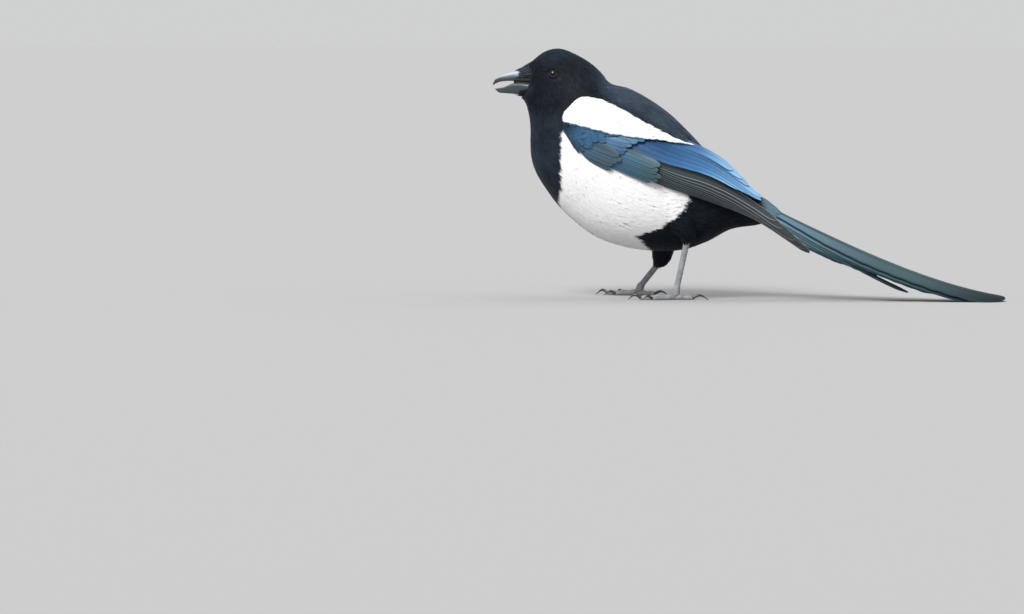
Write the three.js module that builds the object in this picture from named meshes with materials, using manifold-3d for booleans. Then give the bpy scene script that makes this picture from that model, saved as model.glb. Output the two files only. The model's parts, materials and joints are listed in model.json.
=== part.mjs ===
// A Eurasian magpie standing on level ground with its bill a little open, as a still, life-size model.
// Millimetres. The bird faces -X, its left side is -Y, and the ground is z = 0.
import * as THREE from "three";
import { mergeVertices } from "three/addons/utils/BufferGeometryUtils.js";
import Module from "manifold-3d";

const wasm = await Module();
wasm.setup();

// Driving dimensions
const GAP = 0.3; // between pieces that touch
const VANE_THICK = 0.5; // of a feather's vane
const LEFT = -1;
const RIGHT = 1;

// The body, from the root of the bill back to the root of the tail. Each station is a slice across the
// body: where it meets the line of the back and of the underside, its half width, how far down it is
// widest, and how far its sides are swept back.
const BODY = [
  { at: "bill root", back: [-104.5, 174.3], under: [-108.5, 152.0], half: 6.6, widest: 0.45, swept: 6.5 },
  { at: "forehead", back: [-97.5, 181.2], under: [-105.8, 150.0], half: 11.0, widest: 0.48, swept: 3.0 },
  { at: "brow", back: [-88.0, 187.6], under: [-103.5, 146.5], half: 15.0, widest: 0.5 },
  { at: "crown", back: [-77.5, 189.2], under: [-102.0, 141.5], half: 17.2, widest: 0.5 },
  { at: "hind crown", back: [-66.5, 185.4], under: [-100.8, 135.0], half: 18.0, widest: 0.48 },
  { at: "nape", back: [-55.5, 179.3], under: [-100.2, 127.0], half: 19.5, widest: 0.5 },
  { at: "neck", back: [-46.5, 171.8], under: [-100.2, 117.5], half: 23.0, widest: 0.52 },
  { at: "neck root", back: [-38.5, 162.9], under: [-99.4, 106.5], half: 27.0, widest: 0.52 },
  { at: "mantle", back: [-24.5, 159.2], under: [-96.0, 95.5], half: 31.5, widest: 0.5 },
  { at: "shoulder", back: [-9.5, 151.4], under: [-88.0, 82.5], half: 35.5, widest: 0.48 },
  { at: "breast", back: [6.2, 140.6], under: [-73.8, 65.2], half: 38.0, widest: 0.48 },
  { at: "belly", back: [22.5, 125.4], under: [-49.0, 46.2], half: 38.5, widest: 0.5 },
  { at: "loin", back: [37.0, 109.8], under: [-18.0, 37.2], half: 35.0, widest: 0.52 },
  { at: "rump", back: [52.0, 95.5], under: [14.0, 36.4], half: 28.0, widest: 0.5 },
  { at: "vent", back: [65.5, 84.5], under: [35.5, 43.0], half: 20.5, widest: 0.48 },
  { at: "tail coverts", back: [78.0, 76.5], under: [54.0, 52.6], half: 14.0, widest: 0.46 },
  { at: "tail root", back: [89.0, 70.5], under: [72.5, 55.8], half: 10.5, widest: 0.5 },
];
const HEAD_ENDS = 4.6; // stations along BODY where the head and the neck end
const NECK_ENDS = 7.4;

// The folded wing, as a curved sheet over the flank: its upper edge, its lower edge, and how far out it is
// at the upper edge, half way down and at the lower edge.
const WING = [
  { at: "bend", upper: [-70.5, 141.5], lower: [-68.3, 126.5], out: [22.5, 29.5, 29.0] },
  { at: "wrist", upper: [-54.0, 151.6], lower: [-50.5, 107.8], out: [22.5, 37.5, 35.5] },
  { at: "shoulder", upper: [-26.5, 146.5], lower: [-21.8, 96.6], out: [23.0, 42.0, 39.2] },
  { at: "elbow", upper: [12.0, 125.0], lower: [13.0, 84.4], out: [19.0, 41.0, 38.2] },
  { at: "tertials", upper: [42.0, 106.6], lower: [46.0, 73.3], out: [8.0, 33.0, 31.0] },
  { at: "rump", upper: [73.0, 79.5], lower: [77.0, 60.4], out: [7.5, 24.5, 24.0] },
  { at: "tip", upper: [117.5, 45.5], lower: [118.5, 35.0], out: [19.0, 22.5, 21.5] },
];
// How each wing lies otherwise than the other: the left one over the right one on the rump, and the tip of
// the right one further out, past the edge of the tail. The places are stations of WING.
const WING_SHIFT = {
  [LEFT]: { up: [0, 0, 0, 0.6, 1.2, 1.0, 0], out: [0, 0, 0, 0, 0, 0, 0] },
  [RIGHT]: { up: [0, 0, 0, -1.4, -2.6, -0.5, 3.0], out: [0, 0, 0, 0, 0, 1.0, 4.2] },
};

// The bill, from the tip back to inside the face.
const UPPER_BILL = [
  { at: "tip", back: [-129.9, 162.6], under: [-129.7, 161.4], half: 0.5, widest: 0.5 },
  { at: "hook", back: [-127.9, 166.1], under: [-127.6, 162.6], half: 1.4, widest: 0.7 },
  { at: "nail", back: [-124.2, 168.4], under: [-124.2, 163.9], half: 2.3, widest: 0.75 },
  { at: "culmen", back: [-117.5, 170.5], under: [-117.8, 164.5], half: 3.7, widest: 0.8 },
  { at: "nostril", back: [-110.5, 172.3], under: [-110.8, 164.4], half: 5.1, widest: 0.8 },
  { at: "base", back: [-103.0, 173.2], under: [-103.0, 163.7], half: 6.4, widest: 0.75 },
  { at: "root", back: [-95.0, 172.8], under: [-95.0, 163.2], half: 6.8, widest: 0.7 },
];
const LOWER_BILL = [
  { at: "tip", back: [-128.1, 158.9], under: [-127.8, 157.9], half: 0.5, widest: 0.5 },
  { at: "front", back: [-125.4, 158.7], under: [-125.2, 155.8], half: 1.4, widest: 0.25 },
  { at: "blade", back: [-120.8, 159.4], under: [-120.8, 155.2], half: 2.4, widest: 0.22 },
  { at: "middle", back: [-115.0, 160.7], under: [-115.0, 154.8], half: 3.7, widest: 0.22 },
  { at: "branch", back: [-109.0, 161.8], under: [-109.0, 154.0], half: 5.1, widest: 0.25 },
  { at: "base", back: [-103.0, 162.6], under: [-103.0, 154.6], half: 6.4, widest: 0.3 },
  { at: "root", back: [-95.0, 162.4], under: [-95.0, 155.4], half: 6.8, widest: 0.35 },
];

// The eye's place on the head's surface, as a slice and a turn from the crown, and the lids round it
const EYE = { slice: 3.76, turn: 1.24, ball: 4.9, sunk: 3.7, lid: 4.0, lidThick: 0.9, lidRaised: 0.1 };
// The line of the mouth behind the bill
const GAPE = { x: -99.5, z: 162.9, length: 7, open: 0.8 };

// Each leg: the feathered thigh and shin, then the ankle, the joint of the toes and the way the toes point.
// A slice of the thigh has a centre and two half widths, fore and aft and across. y is outwards.
const LEGS = {
  left: {
    side: LEFT,
    thigh: [
      { p: [4, 24, 84], fore: 15, across: 11 },
      { p: [12, 24.5, 72], fore: 13.5, across: 10.5 },
      { p: [19, 23.5, 60], fore: 10.5, across: 9 },
      { p: [23.6, 22, 51.5], fore: 8, across: 7.4 },
      { p: [24.6, 21.5, 46.5], fore: 6, across: 5.6 },
      { p: [24.3, 21.3, 43.6], fore: 3.6, across: 3.4 },
    ],
    toeJoint: [16.6, 23, 7.4],
    heading: 8,
  },
  right: {
    side: RIGHT,
    thigh: [
      { p: [-8, 20, 74], fore: 15, across: 11 },
      { p: [-4, 21, 58], fore: 12.5, across: 10.5 },
      { p: [-2, 21.5, 45], fore: 10, across: 9 },
      { p: [-2, 22, 35.5], fore: 8.4, across: 8 },
      { p: [-4, 23.8, 28.5], fore: 6.6, across: 6.4 },
      { p: [-6.6, 26.2, 24.6], fore: 3.8, across: 3.6 },
    ],
    toeJoint: [-22.0, 37.0, 7.4],
    heading: 12,
  },
};
const SHANK = { fore: 2.3, across: 1.7, knob: 2.9, scutes: 6, scuteStep: 0.22 };
// Toes: how far round from the heading they point, their length, the height and half width at the root, and the claw
const TOES = {
  inner: { turn: -27, length: 19, height: 4.4, half: 2.1, claw: 8.5 },
  middle: { turn: 0, length: 27, height: 4.8, half: 2.3, claw: 9.5 },
  outer: { turn: 27, length: 20, height: 4.4, half: 2.1, claw: 8.5 },
  hind: { turn: 180, length: 13.5, height: 4.6, half: 2.3, claw: 12.0 },
};

// The tail: the line that it bends along from root to tip, how far it is rolled towards the bird's left, in
// degrees, and the feathers of each half from the middle pair out.
const TAIL = {
  root: [73.5, 74.0],
  towards: [196.0, 10.5],
  tip: [263.0, 2.6],
  roll: 10,
  droop: 0.009, // how much the feathers fall away to each side, per mm squared
  pairs: 6,
  shortening: 23.0, // of each pair against the one above it
  layer: 0.82, // from one pair down to the next
};

// A smooth curve through points, which passes point i at t = i.
function spline(points) {
  const curve = new THREE.CatmullRomCurve3(
    points.map((p) => new THREE.Vector3(...p)),
    false,
    "catmullrom",
    0.5,
  );
  return (t) => curve.getPoint(THREE.MathUtils.clamp(t / (points.length - 1), 0, 1));
}

// The surface through a list of slices: at(s, angle) is the point at slice s, from angle 0 on the back,
// round by the left side (-Y) to the underside at half a turn. lift moves it out along the surface's normal.
function sliceSurface(slices) {
  const back = spline(slices.map((k) => [k.back[0], 0, k.back[1]]));
  const under = spline(slices.map((k) => [k.under[0], 0, k.under[1]]));
  const size = spline(slices.map((k) => [k.half, k.widest, k.swept ?? 0]));
  const last = slices.length - 1;
  function bare(s, angle) {
    const { x: half, y: widest, z: swept } = size(s);
    const down = Math.cos(angle) > 0
      ? widest * (1 - Math.cos(angle))
      : widest - (1 - widest) * Math.cos(angle);
    const p = back(s).lerp(under(s), down);
    p.y = -half * Math.sin(angle);
    p.x += swept * Math.sin(angle) ** 2;
    return p;
  }
  function at(s, angle, lift = 0) {
    const p = bare(s, angle);
    if (!lift) return p;
    const step = 0.01;
    const along = bare(Math.min(s + step, last), angle).sub(bare(Math.max(s - step, 0), angle));
    const round = bare(s, angle + step).sub(bare(s, angle - step));
    return p.addScaledVector(along.cross(round).normalize(), -lift);
  }
  return { at, last };
}

// A closed geometry from rings of points, each ring turning the same way, with a fan over both ends.
function closeRings(rings) {
  const n = rings[0].length;
  const middle = (ring) =>
    ring.reduce((sum, p) => sum.add(p), new THREE.Vector3()).divideScalar(n);
  const points = [...rings.flat(), middle(rings[0]), middle(rings.at(-1))];
  const index = [];
  for (let i = 0; i + 1 < rings.length; i++)
    for (let j = 0; j < n; j++) {
      const a = i * n + j;
      const b = i * n + ((j + 1) % n);
      index.push(a, b, a + n, b, b + n, a + n);
    }
  const first = rings.length * n;
  for (let j = 0; j < n; j++) {
    const k = (j + 1) % n;
    index.push(first, k, j, first + 1, first - n + j, first - n + k);
  }
  const geometry = new THREE.BufferGeometry().setFromPoints(points);
  geometry.setIndex(index);
  return geometry;
}

// A geometry as a solid for joining and cutting, turned the right way out.
function solid(geometry) {
  const bare = new THREE.BufferGeometry();
  bare.setAttribute("position", geometry.getAttribute("position"));
  bare.setIndex(geometry.index);
  const merged = mergeVertices(bare, 1e-4);
  const triVerts = new Uint32Array(merged.index.array);
  const mesh = () =>
    new wasm.Mesh({ numProp: 3, vertProperties: merged.attributes.position.array, triVerts });
  const made = new wasm.Manifold(mesh());
  if (made.volume() > 0) return made;
  for (let i = 0; i < triVerts.length; i += 3)
    [triVerts[i + 1], triVerts[i + 2]] = [triVerts[i + 2], triVerts[i + 1]];
  return new wasm.Manifold(mesh());
}

// The largest closed surface of a solid, without the sealed hollows and loose scraps that joining leaves.
function largest(made) {
  const bodies = made.decompose();
  return bodies.reduce((best, body) => (body.volume() > best.volume() ? body : best));
}

const join = (pieces) => pieces.reduce((sum, piece) => sum.add(piece));

// Slices first to last of a surface as a solid, cut to rings a third or so of a slice apart.
function body(surface, { from = 0, to = surface.last, perSlice = 2, round = 24, lift = 0 } = {}) {
  const count = Math.ceil((to - from) * perSlice);
  const rings = [];
  for (let i = 0; i <= count; i++) {
    const s = from + ((to - from) * i) / count;
    const ring = [];
    for (let j = 0; j < round; j++) ring.push(surface.at(s, (2 * Math.PI * j) / round, lift));
    rings.push(ring);
  }
  const beyond = rings.at(-1)[0].clone().sub(rings.at(-2)[0]).setLength(lift);
  if (lift) rings.push(rings.at(-1).map((p) => p.clone().add(beyond)));
  return solid(closeRings(rings));
}

// A thin plate. place(t, a) gives a point of its middle surface and the way out of it, for t from root to
// tip and a from -1 to 1 across. Both faces are split the same way, so that they never cross.
function plate(place, along, across, thick) {
  const faces = [1, -1].map((face) =>
    along.map((t) =>
      across.map((a) => {
        const { p, out } = place(t, a);
        const edge = 0.75 + 0.25 * (1 - a * a) * (1 - t * t);
        return p.clone().addScaledVector(out, (face * thick * edge) / 2);
      }),
    ),
  );
  const points = faces.flat(2);
  const wide = across.length;
  const count = along.length * wide;
  const index = [];
  const quad = (a, b, c, d) => index.push(a, b, c, b, d, c);
  for (let i = 0; i + 1 < along.length; i++)
    for (let j = 0; j + 1 < wide; j++) {
      const a = i * wide + j;
      quad(a, a + 1, a + wide, a + wide + 1);
      index.push(a + count, a + wide + count, a + 1 + count);
      index.push(a + 1 + count, a + wide + count, a + wide + 1 + count);
    }
  for (let i = 0; i + 1 < along.length; i++) {
    const a = i * wide;
    const b = a + wide - 1;
    quad(a + wide, a + wide + count, a, a + count);
    quad(b, b + count, b + wide, b + wide + count);
  }
  for (let j = 0; j + 1 < wide; j++) {
    const a = j;
    const b = (along.length - 1) * wide + j;
    quad(a, a + count, a + 1, a + 1 + count);
    quad(b + 1, b + 1 + count, b, b + count);
  }
  const geometry = new THREE.BufferGeometry().setFromPoints(points);
  geometry.setIndex(index);
  return solid(geometry);
}

// The wing's sheet. at(u, v) is the point at u from the bend to the tip and v from the upper edge to the
// lower one, out is the way off the bird, and span the length of the sheet from edge to edge there.
function wingSheet(side) {
  const { up, out: aside } = WING_SHIFT[side];
  const rail = (edge, k, i, out, rise) => [k[edge][0], side * (out + aside[i]), k[edge][1] + rise];
  const upper = spline(WING.map((k, i) => rail("upper", k, i, k.out[0], up[i])));
  const lower = spline(WING.map((k, i) => rail("lower", k, i, k.out[2], Math.max(0, up[i]))));
  const bulge = spline(WING.map((k, i) => [0, side * (k.out[1] + aside[i]), 0]));
  const last = WING.length - 1;
  function at(u, v) {
    const top = upper(u * last);
    const low = lower(u * last);
    const middle = top.clone().lerp(low, 0.5);
    middle.y = bulge(u * last).y;
    return top
      .multiplyScalar((1 - v) * (1 - 2 * v))
      .addScaledVector(middle, 4 * v * (1 - v))
      .addScaledVector(low, v * (2 * v - 1));
  }
  const step = 0.01;
  function frame(u, v) {
    const along = at(u + step, v).sub(at(u - step, v));
    const down = at(u, v + step).sub(at(u, v - step));
    const out = along.clone().cross(down).normalize().multiplyScalar(side);
    return { out, span: down.length() / (2 * step) };
  }
  return { at, frame };
}

const mix = (a, b, t) => a + (b - a) * t;

// How wide a vane is along its length: narrow at the root, full for most of it, round at the tip.
function vaneWidth(t, round = 0.25) {
  const opening = Math.min(1, 0.55 + t * 1.5);
  const closing = t < 1 - round ? 1 : Math.sqrt(Math.max(0, 1 - ((t - 1 + round) / round) ** 2));
  return opening * Math.max(0.42, closing);
}


// The feathers of a folded wing in tiers, each from the back downwards. A place is [u, v] on the sheet: roots
// are the first and last root, tips has one entry a feather. half is the half width of the first and last
// vane, lift the height over the sheet at the root, sunk into the arm, and at the tip.
const TIERS = [
  {
    name: "primaries",
    roots: [[0.42, 0.66], [0.34, 0.92]],
    tips: [[0.92, 0.34], [0.98, 0.46], [1, 0.62], [0.95, 0.78], [0.84, 0.93]],
    half: [4.8, 3.4],
    lift: [-1.9, -1.6],
    stack: [0.3, 0.75],
    steps: [0, 0.35, 0.7, 0.93, 1],
  },
  {
    name: "tertials and secondaries",
    roots: [[0.38, 0.14], [0.33, 0.6]],
    tips: [[0.72, 0.05], [0.8, 0.12], [0.845, 0.22], [0.82, 0.35], [0.75, 0.44], [0.67, 0.51]],
    half: [6.8, 4.2],
    lift: [-0.9, 1.7],
    stack: [0, 0.5],
    steps: [0, 0.35, 0.7, 0.92, 1],
  },
  {
    name: "primary coverts",
    roots: [[0.22, 0.7], [0.2, 0.9]],
    tips: [[0.5, 0.66], [0.475, 0.8], [0.44, 0.93]],
    half: [4.8, 3.8],
    lift: [-0.9, 2.2],
    steps: [0, 0.5, 0.88, 1],
  },
  {
    name: "greater coverts",
    roots: [[0.2, 0.36], [0.19, 0.66]],
    tips: [[0.43, 0.31], [0.425, 0.42], [0.415, 0.52], [0.4, 0.62]],
    half: [5.8, 5.2],
    lift: [-0.9, 2.4],
    steps: [0, 0.5, 0.88, 1],
  },
  {
    name: "alula",
    roots: [[0.14, 0.74], [0.13, 0.84]],
    tips: [[0.36, 0.8], [0.33, 0.92]],
    half: [4.0, 3.2],
    lift: [-0.9, 2.8],
    steps: [0, 0.5, 0.88, 1],
  },
  {
    name: "median coverts",
    roots: [[0.1, 0.44], [0.1, 0.78]],
    tips: [[0.29, 0.42], [0.285, 0.53], [0.275, 0.64], [0.255, 0.75]],
    half: [5.8, 5.0],
    lift: [-0.9, 2.4],
    steps: [0, 0.5, 0.88, 1],
  },
  {
    name: "lower scapulars",
    roots: [[0.08, 0.36], [0.38, 0.1]],
    tips: [[0.2, 0.4], [0.28, 0.39], [0.36, 0.36], [0.44, 0.29], [0.53, 0.16]],
    half: [5.4, 4.6],
    lift: [-0.9, 3.4],
    steps: [0, 0.5, 0.88, 1],
  },
  {
    name: "upper scapulars",
    roots: [[0.1, 0.24], [0.34, 0.04]],
    tips: [[0.24, 0.22], [0.36, 0.18], [0.49, 0.07]],
    half: [6.6, 5.2],
    lift: [-0.9, 3.6],
    steps: [0, 0.5, 0.88, 1],
  },
];
const VANE_TILT = 0.62; // each vane's lower edge stands this far out and its upper edge this far in
const ARM = { to: 0.52, inner: -10, outer: 0.8, thinFrom: 0.3, thinTo: -1.6 };

function wingVane(sheet, tier, i) {
  const share = i / (tier.tips.length - 1);
  const root = tier.roots[0].map((first, k) => mix(first, tier.roots[1][k], share));
  const tip = tier.tips[i];
  const half = mix(...tier.half, share);
  return plate(
    (t, a) => {
      const u = mix(root[0], tip[0], t);
      const v = mix(root[1], tip[1], t);
      const { span } = sheet.frame(u, v);
      const w = v + (a * half * vaneWidth(t)) / span;
      const { out } = sheet.frame(u, w);
      const level = tier.stack ? (tier.tips.length - 1 - i) * mix(...tier.stack, t) : 0;
      const lift = mix(...tier.lift, t) + level + VANE_TILT * a;
      return { p: sheet.at(u, w).addScaledVector(out, lift), out };
    },
    tier.steps,
    [-1, 0, 1],
    VANE_THICK,
  );
}

// The folded arm with its small coverts, smooth at the bend and thin where the long feathers leave it.
function arm(sheet) {
  const rings = [];
  const around = 6;
  const count = 8;
  for (let i = 0; i <= count; i++) {
    const share = i / count;
    const u = share * ARM.to;
    const end = Math.sqrt(Math.max(0.03, 1 - (1 - Math.min(1, share * 4)) ** 2));
    const thin = THREE.MathUtils.smoothstep(u, ARM.thinFrom, ARM.to);
    const ring = [];
    for (const face of [ARM.outer, ARM.inner])
      for (let j = 0; j < around; j++) {
        const v = (face === ARM.outer ? j : around - j) / around;
        const edge = Math.sqrt(Math.max(0, 1 - (2 * v - 1) ** 4));
        const { out } = sheet.frame(u, v);
        const lift = mix(face * edge * end, mix(ARM.thinTo, ARM.thinTo - 0.8, face < 0 ? 1 : 0), thin);
        ring.push(sheet.at(u, v).addScaledVector(out, lift));
      }
    rings.push(ring);
  }
  return solid(closeRings(rings));
}

function wing(side, cutters) {
  const sheet = wingSheet(side);
  const pieces = [arm(sheet)];
  for (const tier of TIERS)
    tier.tips.forEach((_, i) => pieces.push(wingVane(sheet, tier, i)));
  return largest(cutters.reduce((made, cutter) => made.subtract(cutter), join(pieces)));
}

// The tail's middle line: at(d) is the point d from its root, with the ways across the tail and up from it.
function tailLine() {
  const curve = new THREE.QuadraticBezierCurve3(
    ...[TAIL.root, TAIL.towards, TAIL.tip].map(([x, z]) => new THREE.Vector3(x, 0, z)),
  );
  const length = curve.getLength();
  const roll = THREE.MathUtils.degToRad(TAIL.roll);
  const at = (d) => {
    const share = THREE.MathUtils.clamp(d / length, 0, 1);
    const along = curve.getTangentAt(share);
    const across = new THREE.Vector3(0, 1, 0).applyAxisAngle(along, roll);
    return { p: curve.getPointAt(share), across, up: along.cross(across) };
  };
  return { at, length };
}

// One tail feather. Pair 0 is the middle pair, and the left one of it lies on the right one.
function tailFeather(pair, side) {
  const line = tailLine();
  const length = line.length - pair * TAIL.shortening;
  const centre = side * (pair === 0 ? 1.2 : mix(9, 12.2, pair / 5));
  const inner = pair === 0 ? 15 : Math.abs(centre) - 0.3;
  const outer = pair === 0 ? 15.5 : 9.2;
  const level = -TAIL.layer * (pair === 0 ? (side === LEFT ? 0 : 1) : pair + 1);
  return plate(
    (t, a) => {
      const d = t * length;
      const { p, across, up } = line.at(d);
      const spread = mix(0.62, 1, Math.min(1, t * 2.2));
      const web = a * side > 0 ? outer : inner;
      const y = (centre + a * web * vaneWidth(t, 14 / length)) * spread;
      p.addScaledVector(across, y);
      p.addScaledVector(up, level - TAIL.droop * y * y);
      return { p, out: up };
    },
    [0, 0.2, 0.45, 0.7, 0.9, 0.97, 1],
    [-1, 0, 1],
    VANE_THICK,
  );
}

// The fleshy root of the tail with the feathers that cover it, which carries all twelve vanes.
function tailRoot() {
  const line = tailLine();
  const rings = [
    { d: 6, half: 10.0, high: 4.6, low: 8.0 },
    { d: 16, half: 10.4, high: 4.0, low: 8.6 },
    { d: 28, half: 10.4, high: 2.8, low: 8.0 },
    { d: 40, half: 9.6, high: 1.4, low: 6.8 },
    { d: 50, half: 7.0, high: 0.5, low: 5.4 },
  ].map(({ d, half, high, low }) => {
    const ring = [];
    for (let j = 0; j < 16; j++) {
      const angle = (2 * Math.PI * j) / 16;
      const { p, across, up } = line.at(d);
      const rise = Math.cos(angle);
      ring.push(
        p.addScaledVector(across, half * Math.sin(angle)).addScaledVector(up, rise * (rise > 0 ? high : low)),
      );
    }
    return ring;
  });
  return solid(closeRings(rings));
}

function tail(cutters) {
  const pieces = [tailRoot()];
  for (let pair = 0; pair < TAIL.pairs; pair++)
    for (const side of [LEFT, RIGHT]) pieces.push(tailFeather(pair, side));
  return largest(cutters.reduce((made, cutter) => made.subtract(cutter), join(pieces)));
}

// Rings along a line of slices that each have a centre and two half widths.
function limb(slices, { round = 12, perSlice = 2, lift = 0 } = {}) {
  const centre = spline(slices.map((k) => k.p));
  const size = spline(slices.map((k) => [k.fore, k.across, 0]));
  const last = slices.length - 1;
  const rings = [];
  for (let i = 0; i <= last * perSlice; i++) {
    const s = i / perSlice;
    const along = centre(Math.min(s + 0.05, last)).sub(centre(Math.max(s - 0.05, 0))).normalize();
    const fore = new THREE.Vector3(0, 1, 0).cross(along).normalize();
    const across = along.clone().cross(fore);
    const { x, y } = size(s);
    const further = i === 0 ? -lift : i === last * perSlice ? lift : 0;
    const ring = [];
    for (let j = 0; j < round; j++) {
      const angle = (2 * Math.PI * j) / round;
      ring.push(
        centre(s)
          .addScaledVector(along, further)
          .addScaledVector(fore, (x + lift) * Math.cos(angle))
          .addScaledVector(across, (y + lift) * Math.sin(angle)),
      );
    }
    rings.push(ring);
  }
  return solid(closeRings(rings));
}

const placed = (p, side) => [p[0], side * p[1], p[2]];

function thighSlices(leg) {
  return leg.thigh.map((k) => ({ ...k, p: placed(k.p, leg.side) }));
}

// The bare shank, with the broad scutes down its front as low steps.
function shankSlices(leg) {
  const end = leg.thigh.at(-1);
  const top = new THREE.Vector3(...placed(end.p, leg.side));
  const foot = new THREE.Vector3(...placed(leg.toeJoint, leg.side));
  const along = foot.clone().sub(top).normalize();
  const from = top.addScaledVector(along, -1.2);
  const slices = [];
  const add = (share, fore, across) =>
    slices.push({ p: from.clone().lerp(foot, share).toArray(), fore, across });
  add(0, SHANK.knob, SHANK.across + 0.7);
  add(0.08, SHANK.knob, SHANK.across + 0.5);
  for (let i = 0; i < SHANK.scutes; i++) {
    const share = 0.14 + (0.76 * i) / SHANK.scutes;
    add(share, SHANK.fore, SHANK.across);
    add(share + 0.085, SHANK.fore + SHANK.scuteStep, SHANK.across + SHANK.scuteStep / 2);
  }
  add(0.93, SHANK.fore + 0.2, SHANK.across + 0.4);
  add(1, SHANK.knob, SHANK.across + 0.8);
  return { slices, foot, along };
}

// One toe from its joint out, flat underneath and swollen at each pad, then its claw.
function toe(leg, spec, start) {
  const heading = THREE.MathUtils.degToRad(180 - leg.side * leg.heading + leg.side * -spec.turn);
  const ahead = new THREE.Vector3(Math.cos(heading), Math.sin(heading), 0);
  const aside = new THREE.Vector3(-ahead.y, ahead.x, 0);
  const pads = Math.max(2, Math.round(spec.length / 8));
  const ring = (d, half, height, floor = 0, round = 8) => {
    const points = [];
    for (let j = 0; j < round; j++) {
      const angle = (2 * Math.PI * (j + 0.5)) / round;
      const z = (height * (1 + Math.sin(angle))) / 2;
      const flat = Math.max(z, 0.1 * height) - 0.1 * height;
      points.push(
        start
          .clone()
          .setZ(floor + flat)
          .addScaledVector(ahead, d)
          .addScaledVector(aside, half * Math.cos(angle)),
      );
    }
    return points;
  };
  const rings = [];
  const steps = pads * 2 + 1;
  for (let i = 0; i <= steps; i++) {
    const share = i / steps;
    const pad = 1 + 0.1 * Math.sin(2 * Math.PI * (share * pads - 0.25));
    const slim = mix(1, 0.66, share);
    rings.push(ring(share * spec.length, spec.half * slim * pad, spec.height * slim * pad));
  }
  const claw = [];
  const tipHeight = spec.height * 0.66 * 0.9;
  for (let i = 0; i <= 4; i++) {
    const share = i / 4;
    const arch = 0.95 * tipHeight * Math.sin(Math.PI * Math.min(1, share * 1.15)) * (1 - share * 0.3);
    const slim = (1 - share) ** 0.8 + 0.08;
    const d = spec.length + GAP + share * spec.claw;
    claw.push(ring(d, spec.half * 0.55 * slim, tipHeight * slim, 0.25 + arch, 6));
  }
  return { toe: solid(closeRings(rings)), claw: solid(closeRings(claw)) };
}

function foot(leg) {
  const { foot: joint, along } = shankSlices(leg);
  const start = joint.clone().setZ(0).addScaledVector(along.clone().setZ(0), 2);
  const toes = Object.fromEntries(
    Object.entries(TOES).map(([name, spec]) => [name, toe(leg, spec, start)]),
  );
  const stub = limb(
    [
      { p: joint.clone().addScaledVector(along, -1).toArray(), fore: SHANK.knob, across: SHANK.across + 0.8 },
      { p: start.clone().setZ(3.8).toArray(), fore: 3.1, across: 2.9 },
      { p: start.clone().setZ(1.2).toArray(), fore: 2.6, across: 2.6 },
    ],
    { round: 8 },
  );
  return {
    foot: largest(join([stub, ...Object.values(toes).map((t) => t.toe)])),
    claws: Object.fromEntries(Object.entries(toes).map(([name, t]) => [name, t.claw])),
  };
}

// The head's own forms: lids round the eyes, and bristles over the root of the bill. A place beside the eye
// is given along the way out of the head there.
function eyePlace(surface, side, outwards) {
  const turn = -side * EYE.turn;
  const p = surface.at(EYE.slice, turn);
  const out = surface.at(EYE.slice, turn, 1).sub(p).normalize();
  return { p: p.addScaledVector(out, outwards), out };
}

function eyeball(surface, side, more = 0) {
  const ball = new THREE.SphereGeometry(EYE.ball + more, 14, 9);
  const { p } = eyePlace(surface, side, -EYE.sunk);
  ball.rotateX(Math.PI / 2);
  ball.translate(p.x, p.y, p.z);
  return solid(ball);
}

function lid(surface, side) {
  const ring = new THREE.TorusGeometry(EYE.lid, EYE.lidThick, 5, 14);
  const { p, out } = eyePlace(surface, side, EYE.lidRaised);
  const turned = new THREE.Quaternion().setFromUnitVectors(new THREE.Vector3(0, 0, 1), out);
  ring.applyQuaternion(turned);
  ring.translate(p.x, p.y, p.z);
  return solid(ring);
}

function gape() {
  const slit = new THREE.BoxGeometry(GAPE.length, 60, GAPE.open);
  slit.translate(GAPE.x, 0, GAPE.z);
  return solid(slit);
}

// Bristles in rows over the nostrils, from the forehead forwards along the bill.
const BRISTLES = { rows: 4, length: 15, half: 1.5 };

function bristle(surface, side, row) {
  const share = row / (BRISTLES.rows - 1);
  const turn = side * -1;
  const root = surface.at(0.45, turn * mix(0.25, 1.25, share), -0.8);
  const tip = new THREE.Vector3(-115.5 + 1.5 * share, side * mix(1.4, 5.2, share), mix(171.0, 167.2, share));
  const along = tip.clone().sub(root);
  const out = new THREE.Vector3(0, side * mix(0.3, 1, share), mix(1, 0.3, share)).normalize();
  const across = along.clone().cross(out).normalize();
  return plate(
    (t, a) => {
      const p = root
        .clone()
        .addScaledVector(along, t)
        .addScaledVector(out, 0.3 * Math.sin(Math.PI * t))
        .addScaledVector(across, a * BRISTLES.half * (1 - 0.85 * t * t));
      return { p, out };
    },
    [0, 0.4, 0.75, 1],
    [-1, 0, 1],
    VANE_THICK + 0.2,
  );
}

// The whole flesh of head, neck and torso, parted by two thin cuts.
function partBody(surface) {
  const whole = body(surface);
  const slab = (s) => {
    const top = surface.at(s, 0);
    const low = surface.at(s, Math.PI);
    const plane = new THREE.BoxGeometry(GAP, 200, 200);
    const lean = Math.atan2(top.x - low.x, top.z - low.z);
    plane.rotateY(lean);
    plane.translate((top.x + low.x) / 2, 0, (top.z + low.z) / 2);
    return solid(plane);
  };
  const pieces = whole.subtract(slab(HEAD_ENDS)).subtract(slab(NECK_ENDS)).decompose();
  const middleX = (piece) => {
    const box = piece.boundingBox();
    return box.min[0] + box.max[0];
  };
  return pieces.filter((p) => p.volume() > 100).sort((a, b) => middleX(a) - middleX(b));
}

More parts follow.
